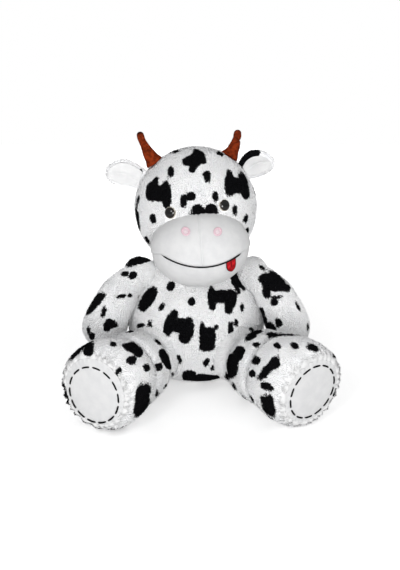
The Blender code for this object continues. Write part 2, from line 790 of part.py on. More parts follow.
def nostril(side, sign, head):
    """A ring of satin stitch, laid on the snout's upper slope."""
    centres = []
    for turn in np.arange(NOSTRIL_STEPS) * (2 * math.pi / NOSTRIL_STEPS):
        x = sign * NOSTRIL_SIDE + NOSTRIL_RADIUS * math.cos(turn)
        z = NOSTRIL_RAISE + NOSTRIL_RADIUS * math.sin(turn)
        centres.append(snout_front(x, z, NOSTRIL_CORD_RADIUS + CLEARANCE)[0])
    points, faces = tube_solid(centres, NOSTRIL_CORD_RADIUS, CORD_SIDES, closed=True)
    mesh_object(f"nostril_{side}", points, faces, "nostril_thread", head)


def tongue(head):
    """A felt tongue, straight where it leaves the mouth and round at its end, lying on the chin."""
    below_cord = 2 * MOUTH_CORD_RADIUS + CLEARANCE * 4
    straight = TONGUE_LENGTH - TONGUE_WIDTH / 2
    outline = [(-TONGUE_WIDTH / 2, 0.0)]
    for turn in np.linspace(math.pi, 2 * math.pi, TONGUE_STEPS + 1):
        outline.append((TONGUE_WIDTH / 2 * math.cos(turn), -straight + TONGUE_WIDTH / 2 * math.sin(turn)))
    outline.append((TONGUE_WIDTH / 2, 0.0))
    points = []
    for lift in (CLEARANCE * 2, CLEARANCE * 2 + TONGUE_THICKNESS):
        for shrink in (1.0, 0.5):
            for x, z in outline:
                middle = -TONGUE_LENGTH / 2
                place = TONGUE_SIDE + x * shrink
                down = -(middle + (z - middle) * shrink) / TONGUE_LENGTH
                lip = mouth_height(place) * (1 - down) + mouth_height(TONGUE_SIDE) * down
                height = lip - below_cord - down * TONGUE_LENGTH
                points.append(snout_front(place, height, lift - CHIN_INSET)[0])
    count = len(outline)
    faces = []
    for j in range(count):
        k = (j + 1) % count
        faces.append((j, k, count + k, count + j))
        faces.append((2 * count + k, 2 * count + j, 3 * count + j, 3 * count + k))
        faces.append((k, j, 2 * count + j, 2 * count + k))
    faces.append(tuple(range(count, 2 * count)))
    faces.append(tuple(range(4 * count - 1, 3 * count - 1, -1)))
    face_outwards(mesh_object("tongue", points, faces, "tongue_felt", head))


def turned_solid(name, profile, sides, finish, parent):
    """A solid of revolution about local Z from (height, radius) points, lowest first."""
    rings = [ring_in_plane((0, 0, z), (1, 0, 0), (0, 1, 0), r, r, sides) for z, r in profile]
    points, faces = solid_of_rings(rings)
    return mesh_object(name, points, faces, finish, parent)


def direction_on_head(azimuth, raise_angle):
    """A unit vector from the head's centre: azimuth from the face towards the toy's left, then upwards."""
    level = math.cos(math.radians(raise_angle))
    return np.array((
        math.sin(math.radians(azimuth)) * level,
        -math.cos(math.radians(azimuth)) * level,
        math.sin(math.radians(raise_angle)),
    ))


def safety_eye(side, sign, head, cover, filling):
    """The eye, its washer and the seats that they need in the cover and in the filling.

    Local Z of the eye's frame points out of the head; its origin is the seat in the cover.
    """
    outward = direction_on_head(sign * EYE_AZIMUTH_ANGLE, EYE_RAISE_ANGLES[side])
    across = unit(np.cross((0.0, 0.0, 1.0), outward))
    seat_distance = HEAD_RADIUS - EYE_SEAT_DEPTH
    local = frame_at(outward * seat_distance, across, np.cross(outward, across), outward)
    place = pivot(f"eye_{side}_seat", head.matrix_world @ local, head)

    washer_top = -EYE_GRIP - CLEARANCE - WASHER_RIM_HEIGHT
    tooth_middle = washer_top - WASHER_THICKNESS / 2
    ribs = int((SHANK_LENGTH + tooth_middle) / SHANK_PITCH)
    profile = [(-SHANK_LENGTH, SHANK_RADIUS * SHANK_TIP_SHARE)]
    for i in range(ribs, -1, -1):
        low = tooth_middle - SHANK_PITCH * (i - 0.5) - SHANK_RIB_WIDTH / 2
        profile += [
            (low, SHANK_RADIUS),
            (low + SHANK_RIB_WIDTH * 0.5, SHANK_RIB_RADIUS),
            (low + SHANK_RIB_WIDTH, SHANK_RADIUS),
        ]
    dome_foot = EYE_FLANGE_THICKNESS
    profile += [(CLEARANCE, SHANK_RADIUS), (CLEARANCE, EYE_RADIUS), (dome_foot, EYE_RADIUS)]
    for turn in np.linspace(0, math.pi / 2, EYE_DOME_STEPS + 1)[1:-1]:
        profile.append((dome_foot + EYE_DOME_HEIGHT * math.sin(turn), EYE_RADIUS * math.cos(turn)))
    profile.append((dome_foot + EYE_DOME_HEIGHT, 0.0))
    turned_solid(f"eye_{side}", profile, EYE_SIDES, "eye_glass", place)

    lock_washer(f"eye_washer_{side}", washer_top, place)

    hole = turned_solid(
        f"eye_hole_cutter_{side}",
        (
            (-CUTTER_OVERRUN, WASHER_RADIUS + CLEARANCE),
            (-EYE_GRIP, WASHER_RADIUS + CLEARANCE),
            (-EYE_GRIP, SHANK_RIB_RADIUS + CLEARANCE),
            (0.0, SHANK_RIB_RADIUS + CLEARANCE),
            (0.0, EYE_RADIUS + CLEARANCE),
            (CUTTER_OVERRUN, EYE_RADIUS + CLEARANCE),
        ),
        EYE_SIDES, None, place,
    )
    washer_low = washer_top - WASHER_THICKNESS - CLEARANCE
    pocket = turned_solid(
        f"eye_pocket_cutter_{side}",
        (
            (-SHANK_LENGTH - CLEARANCE, SHANK_RIB_RADIUS + CLEARANCE),
            (washer_low, SHANK_RIB_RADIUS + CLEARANCE),
            (washer_low, WASHER_RADIUS + CLEARANCE),
            (CUTTER_OVERRUN, WASHER_RADIUS + CLEARANCE),
        ),
        EYE_SIDES, None, place,
    )
    cut(cover, as_cutter(hole))
    cut(filling, as_cutter(pocket))


def lock_washer(name, top, parent):
    """A disc with a raised rim, whose spring teeth reach into a groove between two ribs of the shank."""
    tip = SHANK_RADIUS + CLEARANCE
    root = tip + WASHER_TOOTH_LENGTH
    rim = WASHER_RADIUS - WASHER_RIM_WIDTH
    sector = 2 * math.pi / WASHER_TEETH
    half_tooth = sector * WASHER_TOOTH_SHARE / 2
    half_tip = half_tooth * WASHER_TOOTH_TIP_SHARE
    builder = bmesh.new()

    def at(radius, turn):
        return builder.verts.new((radius * math.cos(turn), radius * math.sin(turn), top))

    rings = []
    for i in range(WASHER_TEETH):
        middle = sector * i
        turns = (middle - half_tooth, middle, middle + half_tooth)
        root_points = [at(root, turn) for turn in turns]
        tips = [at(tip, middle + turn) for turn in (-half_tip, 0.0, half_tip)]
        builder.faces.new((root_points[0], root_points[1], tips[1], tips[0]))
        builder.faces.new((root_points[1], root_points[2], tips[2], tips[1]))
        rings.append((root_points, turns))
    inner, turns = [], []
    for points, angles in rings:
        inner += points
        turns += angles
    middle_ring = [at(rim, turn) for turn in turns]
    outer_ring = [at(WASHER_RADIUS, turn) for turn in turns]
    web, border = [], []
    for j in range(len(inner)):
        k = (j + 1) % len(inner)
        web.append(builder.faces.new((middle_ring[j], middle_ring[k], inner[k], inner[j])))
        border.append(builder.faces.new((outer_ring[j], outer_ring[k], middle_ring[k], middle_ring[j])))
    flat = list(builder.faces)
    lower = bmesh.ops.extrude_face_region(builder, geom=flat)
    moved = [item for item in lower["geom"] if isinstance(item, bmesh.types.BMVert)]
    bmesh.ops.translate(builder, verts=moved, vec=(0.0, 0.0, -WASHER_THICKNESS))
    raised = bmesh.ops.extrude_face_region(builder, geom=border)
    bmesh.ops.delete(builder, geom=[face for face in border if face.is_valid], context="FACES_ONLY")
    moved = [item for item in raised["geom"] if isinstance(item, bmesh.types.BMVert)]
    bmesh.ops.translate(builder, verts=moved, vec=(0.0, 0.0, WASHER_RIM_HEIGHT))
    bmesh.ops.recalc_face_normals(builder, faces=builder.faces)
    mesh = bpy.data.meshes.new(name)
    builder.to_mesh(mesh)
    builder.free()
    mesh.materials.append(material("washer_plastic"))
    made = bpy.data.objects.new(name, mesh)
    bpy.context.collection.objects.link(made)
    made.parent = parent


def horn(side, sign, head, head_ball):
    """A tapering felt horn that leaves the head square to it and hooks upwards."""
    outward = direction_on_head(sign * 90.0, HORN_RAISE_ANGLE)
    base = outward * HEAD_RADIUS
    lean, back = math.radians(HORN_LEAN_ANGLE), math.radians(HORN_BACK_ANGLES[side])
    upright = math.sin(lean)
    heading = np.array((sign * math.cos(lean), upright * math.sin(back), upright * math.cos(back)))
    tip = base + HORN_LENGTH * heading
    controls = (base - outward * HORN_BASE_RADIUS, base + outward * HORN_LENGTH * HORN_STRAIGHT_SHARE, tip)
    slopes = [second - first for first, second in zip(controls, controls[1:])]
    swell = (
        HORN_BASE_RADIUS * HORN_ROOT_SWELL_SHARE,
        HORN_BASE_RADIUS * HORN_MIDDLE_SWELL_SHARE,
        HORN_TIP_RADIUS,
    )
    rings = []
    for share in np.linspace(0, 1, HORN_RINGS):
        centre = bezier(controls, share)
        along = unit(bezier(slopes, share))
        across = np.array((0.0, 1.0, 0.0))
        radius = float(bezier(swell, share))
        rings.append(ring_in_plane(centre, across, np.cross(along, across), radius, radius, HORN_SIDES))
    along = unit(slopes[-1])
    across = np.array((0.0, 1.0, 0.0))
    for turn in np.radians(HORN_TIP_ANGLES):
        centre = tip + along * (HORN_TIP_RADIUS * math.sin(turn))
        radius = HORN_TIP_RADIUS * math.cos(turn)
        rings.append(ring_in_plane(centre, across, np.cross(along, across), radius, radius, HORN_SIDES))
    rings.append([tip + along * HORN_TIP_RADIUS])
    points, faces = solid_of_rings(rings)
    made = mesh_object(f"horn_{side}", points, faces, "horn_felt", head)
    cut(made, head_ball)


def ear(side, sign, head, cover):
    """A cupped leaf whose root edge is rounded about its hinge, and its white lining on the front.

    The root edge turns in a shallow groove of the head's cover.

    along runs out along the ear, hinge along the root edge, and face out of the lining.
    """
    outward = direction_on_head(sign * 90.0, EAR_RAISE_ANGLE)
    base = outward * (HEAD_RADIUS + EAR_THICKNESS / 2 + CLEARANCE - EAR_SEAT_DEPTH)
    lift, turn = math.radians(EAR_LIFT_ANGLES[side]), math.radians(EAR_TURN_ANGLES[side])
    level = math.cos(turn)
    along = np.array((sign * math.cos(lift) * level, -math.sin(turn), math.sin(lift) * level))
    hinge = unit(np.cross(outward, (0.0, 1.0, 0.0)))
    axes = (along, hinge, unit(np.cross(along, hinge)))
    groove_radius = (EAR_THICKNESS / 2 + CLEARANCE) / math.cos(math.pi / EAR_GROOVE_SIDES)
    reach = EAR_BASE_WIDTH / 2 + CUTTER_OVERRUN
    upwards = np.cross(hinge, outward)
    rings = [
        ring_in_plane(base + hinge * end, outward, upwards, groove_radius, groove_radius, EAR_GROOVE_SIDES)
        for end in (-reach, reach)
    ]
    cut(cover, as_cutter(mesh_object(f"ear_groove_cutter_{side}", *solid_of_rings(rings), None, head)))
    joint = pivot(f"ear_{side}_pivot", head.matrix_world @ Matrix.Translation(tuple(base)), head)
    rings = ear_root(axes) + ear_leaf(
        axes, (EAR_LENGTH, EAR_WIDTH / 2, EAR_BASE_WIDTH / 2), (-EAR_THICKNESS / 2, EAR_THICKNESS / 2), 0.0
    )
    mesh_object(f"ear_{side}", *solid_of_rings(rings), "plush_white", joint)
    low = EAR_THICKNESS / 2 + CLEARANCE
    sizes = (EAR_LENGTH - EAR_BORDER, EAR_WIDTH / 2 - EAR_BORDER, EAR_BASE_WIDTH / 2 - EAR_BORDER)
    rings = ear_leaf(axes, sizes, (low, low + EAR_LINING_THICKNESS), EAR_BORDER + EAR_THICKNESS / 2)
    mesh_object(f"ear_lining_{side}", *solid_of_rings(rings), "snout_plush", joint)


def ear_half_width(share, half_width, base):
    """A leaf: from the base's width it swells, then closes in a round tip."""
    swell = [half_width * swell_share for swell_share in EAR_SWELL_SHARES]
    controls = (base, *swell, half_width)
    return float(bezier(controls, share)) * math.sqrt(max(1 - share**EAR_TIP_POWER, 0.0))


def ear_root(axes):
    """Rings of the root edge, each a strip on a cylinder about the hinge, outermost first."""
    along, hinge, face = axes
    back = unit(np.cross(hinge, face))
    back *= -math.copysign(1.0, float(np.dot(back, along)))
    rings = []
    for angle in np.radians(EAR_ROOT_ANGLES):
        centre = back * (EAR_THICKNESS / 2 * math.cos(angle))
        half_level = EAR_THICKNESS / 2 * math.sin(angle)
        rings.append(ring_in_plane(centre, hinge, face, EAR_BASE_WIDTH / 2, half_level, EAR_ACROSS * 2))
    return rings


def ear_leaf(axes, sizes, levels, start):
    """Rings of a leaf between two levels of its thickness, cupped towards its face.

    sizes holds the length, the half width and the half width at the base.
    """
    along, hinge, face = axes
    length, half_width, base = sizes
    upward = unit(np.cross(face, along))
    rise = math.copysign(1.0, upward[2])
    middle_level, full_level = (levels[0] + levels[1]) / 2, (levels[1] - levels[0]) / 2
    rings = []
    for share in np.linspace(0.0, 1.0, EAR_STEPS + 1) ** EAR_STATION_POWER:
        distance = start + (length - start) * share
        bend = -EAR_CUP * EAR_BACK_BEND_SHARE * math.sin(math.pi * share)
        if share == 1:
            rings.append([along * distance + face * (middle_level + bend)])
            continue
        width = ear_half_width(share, half_width, base)
        twist = max(1 - share / EAR_TWIST_SHARE, 0.0)
        side_axis = unit(upward * (1 - twist) + hinge * math.copysign(twist, float(np.dot(hinge, upward))))
        half_level = full_level * min(1.0, (1 - share) * EAR_TIP_POWER + EAR_TIP_EDGE_SHARE)
        cup = EAR_CUP / 2 * math.sin(math.pi * min(share * EAR_CUP_REACH_SHARE, 1.0))
        bow = EAR_BOW * math.sin(math.pi * share) * rise
        ring = []
        for turn in np.arange(EAR_ACROSS * 2) * (math.pi / EAR_ACROSS):
            sideways = math.cos(turn)
            level = middle_level + bend + half_level * math.sin(turn) + cup * sideways**2
            ring.append(along * distance + side_axis * (width * sideways + bow) + face * level)
        rings.append(ring)
    return rings


def head_parts():
    head = pivot("head_pivot", head_frame())
    outer = sphere_rings(HEAD_RADIUS, HEAD_RINGS, HEAD_SIDES)
    inner = sphere_rings(HEAD_RADIUS - PLUSH_WALL, HEAD_RINGS, HEAD_SIDES)
    points, faces = hollow_of_rings(outer, inner)
    cover = mesh_object("head_cover", points, faces, "plush_white", head)
    inside = HEAD_RADIUS - PLUSH_WALL - CLEARANCE
    points, faces = solid_of_rings(sphere_rings(inside, HEAD_RINGS, HEAD_SIDES))
    filling = mesh_object("head_filling", points, faces, "filling", head)
    points, faces = solid_of_rings(snout_rings(CHIN_INSET + SNOUT_WALL + CLEARANCE))
    join(filling, as_cutter(mesh_object("snout_wad", points, faces, "filling", head)))
    points, faces = solid_of_rings(snout_rings(-CLEARANCE))
    cut(cover, as_cutter(mesh_object("snout_opening_cutter", points, faces, None, head)))
    snout(head)
    points, faces = solid_of_rings(sphere_rings(HEAD_RADIUS + CLEARANCE, HEAD_RINGS, HEAD_SIDES))
    head_ball = as_cutter(mesh_object("horn_root_cutter", points, faces, None, head))
    for side, sign in SIDES.items():
        safety_eye(side, sign, head, cover, filling)
        horn(side, sign, head, head_ball)
        ear(side, sign, head, cover)
    rings = sphere_rings(HEAD_RADIUS + CLEARANCE, HEAD_RINGS, BIG_SOCKET_SEGMENTS, turning=True)
    return as_cutter(mesh_object("neck_cutter", *solid_of_rings(rings), None, head))


def build():
    clear_scene()
    profile = torso_profile()
    outer = loft(profile, torso_ring)
    inner = loft(inset_profile(profile, PLUSH_WALL), torso_ring)
    points, faces = hollow_of_rings(outer, inner)
    cover = mesh_object("torso_cover", points, faces, "plush_white")
    points, faces = solid_of_rings(loft(inset_profile(profile, PLUSH_WALL + CLEARANCE), torso_ring))
    filling = mesh_object("torso_filling", points, faces, "filling")
    reach = TORSO_HALF_WIDTH + LEG_LENGTH + CUTTER_OVERRUN
    floor = block_cutter("floor_cutter", (-reach, -reach, -CUTTER_OVERRUN), (reach, reach, 0.0))
    cutters = [head_parts(), tail()]
    for side in SIDES:
        cutters.append(arm(side))
        leg_cover, socket = leg(side)
        cut(leg_cover, floor)
        cutters.append(socket)
    cut(cover, floor, *cutters)
    cut(filling, *cutters)
    bpy.context.view_layer.update()


build()
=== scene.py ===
# %% [markdown]
# # A seated plush cow
# A plush toy is a set of sewn covers stuffed with fibre. In this lesson each cover becomes a smooth surface
# worked out with numpy, its short pile becomes thousands of small locks, and the printed spots are worked
# out once and shared by the cloth and the pile. The frame that is loaded first holds the plain solids
# and the joints; everything made here rides on it.

# %% Load the frame
import math

import bpy
import numpy as np
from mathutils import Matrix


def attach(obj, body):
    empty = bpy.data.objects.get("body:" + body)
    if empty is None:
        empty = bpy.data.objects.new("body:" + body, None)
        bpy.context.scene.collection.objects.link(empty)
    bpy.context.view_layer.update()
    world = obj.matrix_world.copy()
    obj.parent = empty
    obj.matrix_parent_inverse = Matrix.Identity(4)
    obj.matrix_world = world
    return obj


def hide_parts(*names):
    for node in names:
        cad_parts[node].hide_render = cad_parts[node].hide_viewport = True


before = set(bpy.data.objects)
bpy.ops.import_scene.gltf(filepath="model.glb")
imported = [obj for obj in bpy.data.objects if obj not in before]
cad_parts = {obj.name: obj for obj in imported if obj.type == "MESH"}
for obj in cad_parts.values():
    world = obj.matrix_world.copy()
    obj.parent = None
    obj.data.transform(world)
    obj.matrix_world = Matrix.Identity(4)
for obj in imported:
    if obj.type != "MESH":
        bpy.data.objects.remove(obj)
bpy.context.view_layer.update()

# %% [markdown]
# ## The camera
# The photograph looks down on the toy by about 17 degrees from its front. Fixing the camera first lets us
# say where a printed spot is by the place it has in the picture: a point of the toy is projected through
# the same camera, and the spot goes on the part of the cloth that lands there.

# %% Camera
PICTURE_WIDTH, PICTURE_HEIGHT = 400, 570
METRES_PER_PIXEL = 0.00175
CAMERA_DISTANCE = 1.5
CAMERA_ELEVATION = math.radians(17.0)
CAMERA_TARGET = np.array((0.007, 0.0, 0.165))
SENSOR_HEIGHT = 24.0

TO_CAMERA = np.array((0.0, -math.cos(CAMERA_ELEVATION), math.sin(CAMERA_ELEVATION)))
PICTURE_RIGHT = np.array((1.0, 0.0, 0.0))
PICTURE_UP = np.array((0.0, math.sin(CAMERA_ELEVATION), math.cos(CAMERA_ELEVATION)))
camera_place = CAMERA_TARGET + TO_CAMERA * CAMERA_DISTANCE
focal_pixels = CAMERA_DISTANCE / METRES_PER_PIXEL

camera_data = bpy.data.cameras.new("studio_camera")
camera_data.sensor_fit = "VERTICAL"
camera_data.sensor_height = SENSOR_HEIGHT
camera_data.lens = focal_pixels / PICTURE_HEIGHT * SENSOR_HEIGHT
camera = bpy.data.objects.new("studio_camera", camera_data)
camera.location = camera_place
camera.rotation_euler = (math.pi / 2 - CAMERA_ELEVATION, 0.0, 0.0)
bpy.context.collection.objects.link(camera)
bpy.context.scene.camera = camera
bpy.context.scene.view_settings.view_transform = "Standard"


def in_picture(points):
    """Pixel place of points: their sideways and upward offsets over their distance along the view."""
    offset = points - camera_place
    away = offset @ -TO_CAMERA
    x = PICTURE_WIDTH / 2 + focal_pixels * (offset @ PICTURE_RIGHT) / away
    y = PICTURE_HEIGHT / 2 - focal_pixels * (offset @ PICTURE_UP) / away
    return np.stack([x, y], axis=-1)


print("lens in mm:", round(camera_data.lens, 2))

# %% [markdown]
# ## Small helpers for shader nodes
# Every finish below is a Principled shader fed by a few nodes. One helper adds a node, sets its options and
# either links or fills its inputs, so that each material reads as a short recipe.


# %% Shader helpers
def new_material(name, colour, roughness, **sockets):
    """A Principled material; a socket's spaces are written as underscores."""
    made = bpy.data.materials.new(name)
    made.use_nodes = True
    shader = made.node_tree.nodes["Principled BSDF"]
    shader.inputs["Base Color"].default_value = (*colour, 1.0)
    shader.inputs["Roughness"].default_value = roughness
    for socket, value in sockets.items():
        shader.inputs[socket.replace("_", " ")].default_value = value
    made.diffuse_color = (*colour, 1.0)
    return made, made.node_tree, shader


def add_node(tree, kind, inputs, **options):
    """A shader node whose inputs, by name or number, are linked or filled."""
    made = tree.nodes.new("ShaderNode" + kind)
    for name, value in options.items():
        setattr(made, name, value)
    for socket, value in inputs.items():
        if isinstance(value, bpy.types.NodeSocket):
            tree.links.new(value, made.inputs[socket])
        else:
            made.inputs[socket].default_value = value
    return made


def noise_on_object(tree, scale, detail=3.0):
    """Noise on Object coordinates; scale is in waves per metre."""
    place = add_node(tree, "TexCoord", {}).outputs["Object"]
    inputs = {"Vector": place, "Scale": scale, "Detail": detail, "Roughness": 0.55}
    return add_node(tree, "TexNoise", inputs).outputs["Fac"]


def remap(tree, value, low, high, to_low=0.0, to_high=1.0, smooth=False):
    """The range from low to high stretched over another range, and clamped to it."""
    inputs = {"Value": value, "From Min": low, "From Max": high, "To Min": to_low, "To Max": to_high}
    kind = "SMOOTHSTEP" if smooth else "LINEAR"
    return add_node(tree, "MapRange", inputs, interpolation_type=kind).outputs["Result"]


def mix_colours(tree, share, first, second):
    """A blend of two colours or colour sockets by a share."""
    first, second = ((*value, 1.0) if isinstance(value, tuple) else value for value in (first, second))
    return add_node(tree, "Mix", {0: share, 6: first, 7: second}, data_type="RGBA").outputs[2]


def combine(tree, operation, first, second):
    """A sum, product or other operation of two values or sockets."""
    return add_node(tree, "Math", {0: first, 1: second}, operation=operation).outputs[0]


def attribute(tree, name):
    """A number stored on the mesh's points; 0 where the mesh hasn't got it."""
    return add_node(tree, "Attribute", {}, attribute_name=name).outputs["Fac"]


def paint(tree, shader, colour):
    """Links a colour socket to the shader's base colour."""
    tree.links.new(colour, shader.inputs["Base Color"])


def bump_from(tree, shader, height, distance, strength=1.0):
    """Fine relief by shading alone; distance is the relief's depth in metres."""
    made = add_node(tree, "Bump", {"Height": height, "Distance": distance, "Strength": strength})
    tree.links.new(made.outputs["Normal"], shader.inputs["Normal"])


# %% [markdown]
# ## Light, floor and background
# A product photograph on white has a large soft light above and in front, some fill, and a white
# sweep. The lamps keep the toy at a plain level; the white comes from what only the camera sees, and the floor keeps
# the soft shadow under the feet.

# %% Studio
WORLD_LEVEL = 0.53
FLOOR_HALF = 3.0
FLOOR_TONE = 0.86
FLOOR_SHOW = 0.42
FLOOR_FADE = (0.45, 1.0)
LAMP_AIM = np.array((0.0, 0.0, 0.2))
WHITE = (1.0, 1.0, 1.0, 1.0)
# Each square lamp's place, side and power.
LAMPS = {
    "key_lamp": ((-0.60, -1.70, 1.05), 0.45, 8.6),
    "front_lamp": ((0.30, -2.00, 0.36), 0.50, 18.8),
    "back_lamp": ((0.3, 1.4, 1.5), 1.2, 4.5),
}

world = bpy.data.worlds.new("studio_world")
bpy.context.scene.world = world
world.use_nodes = True
tree = world.node_tree
paths = add_node(tree, "LightPath", {})
seen = combine(tree, "MAXIMUM", paths.outputs["Is Camera Ray"], paths.outputs["Is Transmission Ray"])
background = tree.nodes["Background"]
background.inputs["Color"].default_value = WHITE
tree.links.new(remap(tree, seen, 0.0, 1.0, WORLD_LEVEL, 1.0), background.inputs["Strength"])

for name, (place, side, power) in LAMPS.items():
    lamp_data = bpy.data.lights.new(name, "AREA")
    lamp_data.shape = "SQUARE"
    lamp_data.size = side
    lamp_data.energy = power
    lamp = bpy.data.objects.new(name, lamp_data)
    lamp.location = place
    heading = LAMP_AIM - np.array(place)
    lamp.rotation_euler = (math.atan2(math.hypot(heading[0], heading[1]), -heading[2]), 0.0,
                           math.atan2(heading[1], heading[0]) - math.pi / 2)
    bpy.context.collection.objects.link(lamp)

floor_finish, tree, shader = new_material("floor_paper", (FLOOR_TONE, FLOOR_TONE, FLOOR_TONE), 0.9)
seen = add_node(tree, "LightPath", {}).outputs["Is Camera Ray"]
place = add_node(tree, "TexCoord", {}).outputs["Object"]
distance = add_node(tree, "VectorMath", {0: place}, operation="LENGTH").outputs["Value"]
glow = remap(tree, remap(tree, distance, *FLOOR_FADE, smooth=True), 0.0, 1.0, FLOOR_SHOW, 1.0)
shader.inputs["Emission Color"].default_value = WHITE
tree.links.new(combine(tree, "MULTIPLY", seen, glow), shader.inputs["Emission Strength"])
floor_mesh = bpy.data.meshes.new("floor")
corners = [(x * FLOOR_HALF, y * FLOOR_HALF, 0.0) for x, y in ((-1, -1), (1, -1), (1, 1), (-1, 1))]
floor_mesh.from_pydata(corners, [], [(0, 1, 2, 3)])
floor_mesh.materials.append(floor_finish)
floor = bpy.data.objects.new("floor", floor_mesh)
bpy.context.collection.objects.link(floor)

# %% [markdown]
# ## From a formula to a mesh
# A cover is a function of two numbers: u runs along the piece from one pole to the other, and v runs round
# it. A grid of both gives the points in one go, and the grid's own order gives the faces. Blender
# takes the arrays with foreach_set, which is much faster than adding vertices one by one.


# %% Mesh helpers
FLOOR_LIFT = 0.0003
DIFFERENCE = 1e-4
POLE_LIMITS = (0.004, 0.996)
RIPPLE_WAVES = 11
RIPPLE_GAIN = 2.2


def unit(vectors):
    """Vectors over their own length."""
    vectors = np.asarray(vectors, float)
    return vectors / np.maximum(np.linalg.norm(vectors, axis=-1, keepdims=True), 1e-12)


def dot(first, second):
    """Dot products of two arrays of vectors."""
    return (first * second).sum(axis=-1)


def full_turn(count):
    """Angles at equal steps round a circle."""
    return 2 * math.pi * np.arange(count) / count


def on_ring(turn, across, upward):
    """Directions in the plane of two axes, at a turn from the first towards the second."""
    return np.cos(turn)[..., None] * across + np.sin(turn)[..., None] * upward


def blend(controls, share):
    """Bezier blend: neighbours are mixed by the share again and again until one value is left."""
    level = [np.asarray(control, float) for control in controls]
    share = np.asarray(share, float)
    if level[0].ndim:
        share = share[..., None]
    while len(level) > 1:
        level = [first + (second - first) * share for first, second in zip(level, level[1:])]
    return level[0]


def make_piece(name, points, faces, finish, body, replaced=(), values=None, uvs=None):
    """A smooth mesh piece that rides on a body. faces is a list of (n, 3) or (n, 4) arrays of point numbers."""
    mesh = bpy.data.meshes.new(name)
    points = np.asarray(points, np.float32).reshape(-1, 3)
    corners = np.concatenate([np.asarray(block).ravel() for block in faces]).astype(np.int32)
    sizes = np.concatenate([np.full(len(block), np.shape(block)[1]) for block in faces]).astype(np.int32)
    mesh.vertices.add(len(points))
    mesh.vertices.foreach_set("co", points.ravel())
    mesh.loops.add(len(corners))
    mesh.loops.foreach_set("vertex_index", corners)
    mesh.polygons.add(len(sizes))
    mesh.polygons.foreach_set("loop_start", np.cumsum(sizes) - sizes)
    mesh.update(calc_edges=True)
    mesh.validate()
    mesh.shade_smooth()
    for label, data in (values or {}).items():
        layer = mesh.attributes.new(label, "FLOAT", "POINT")
        layer.data.foreach_set("value", np.asarray(data, np.float32).ravel())
    if uvs is not None:
        layer = mesh.uv_layers.new(name="OFBake")
        layer.data.foreach_set("uv", np.asarray(uvs, np.float32).ravel())
    mesh.materials.append(finish)
    made = bpy.data.objects.new(name, mesh)
    bpy.context.collection.objects.link(made)
    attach(made, body)
    if replaced:
        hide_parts(*replaced)
    print(f"{name}: {len(points)} points, {int((sizes - 2).sum())} triangles")


def grid_faces(rows, sides, first=0):
    """Quads of a grid whose rows are rings, and fans from its end rings to the two points after it."""
    i, j = np.meshgrid(np.arange(rows - 1), np.arange(sides), indexing="ij")
    k = (j + 1) % sides
    quads = np.stack([i * sides + j, i * sides + k, (i + 1) * sides + k, (i + 1) * sides + j], axis=-1)
    j = np.arange(sides)
    k, last, pole = (j + 1) % sides, (rows - 1) * sides, rows * sides
    start = np.stack([np.full(sides, pole), k, j], axis=-1)
    end = np.stack([np.full(sides, pole + 1), last + j, last + k], axis=-1)
    return [quads.reshape(-1, 4) + first, start + first, end + first]


def grid_uv(rows, sides):
    """u at the middle of each row and v at each side, as two grids."""
    return np.meshgrid((np.arange(rows) + 0.5) / rows, np.arange(sides) / sides, indexing="ij")


def with_poles(rings):
    """The points of a grid as one list, then the middles of its first and last rings."""
    return np.concatenate([rings.reshape(-1, 3), [rings[0].mean(axis=0), rings[-1].mean(axis=0)]])


def sample_grid(form, rows, sides):
    """Points of a form on a closed grid with its two poles, and the faces."""
    return with_poles(form(*grid_uv(rows, sides))), grid_faces(rows, sides)


def form_frame(form, u, v):
    """Point, outward normal and unit direction along u, from small differences of the form."""
    inner = np.clip(u, *POLE_LIMITS)
    along = form(inner + DIFFERENCE, v) - form(inner - DIFFERENCE, v)
    around = form(inner, v + DIFFERENCE) - form(inner, v - DIFFERENCE)
    return form(u, v), unit(np.cross(around, along)), unit(along)


def ripple(points, wavelength, seed):
    """A smooth irregularity, about -1 to 1: the mean of waves in seeded directions."""
    draws = np.random.default_rng(seed)
    directions = unit(draws.normal(size=(RIPPLE_WAVES, 3)))
    phases = draws.uniform(0, 2 * math.pi, RIPPLE_WAVES)
    return np.sin(points @ (directions.T * (2 * math.pi / wavelength)) + phases).mean(axis=-1) * RIPPLE_GAIN


def cloth_form(form, relief=None, dimples=()):
    """The form as sewn and stuffed: pushed along its normals by the relief, hollowed where a ball sits in it.

    Inside a ball a point moves against its normal until it is on the ball's far side.
    """

    def made(u, v):
        point, normal, _ = form_frame(form, u, v)
        if relief is not None:
            point = point + normal * relief(point, u, v)[..., None]
        for centre, radius in dimples:
            offset = point - centre
            out = dot(offset, normal)
            inside = radius**2 - dot(offset, offset)
            push = out + np.sqrt(np.maximum(out**2 + inside, 0.0))
            point = point - normal * np.where(inside > 0, push, 0.0)[..., None]
        point[..., 2] = np.maximum(point[..., 2], FLOOR_LIFT)
        return point

    return made


# %% [markdown]
# ## The forms of the covers
# The torso is an egg whose width follows a Bezier curve over its height. Each limb starts as a ball in its
# socket, is drawn in at a seam, and then swells along a curved spine; its width along the spine is a chain
# of smooth waves. The same lengths as the frame's solids are used, so each cover lands on its own solid.

# %% Measures of the body
SIDES = {"right": -1.0, "left": 1.0}
SIDEWAYS, BACKWARDS, UPWARDS = np.eye(3)
FLOOR_CUT = 0.0005
TORSO_HEIGHT = 0.228
TORSO_HALF_WIDTH = 0.1045
TORSO_LEAN = 0.022
TORSO_SWELLS = (0.98, 1.19, 0.96, 0.93)
TORSO_DEPTHS = (0.93, 0.95, 0.66)
TORSO_FULLNESS = (0.52, 0.62)

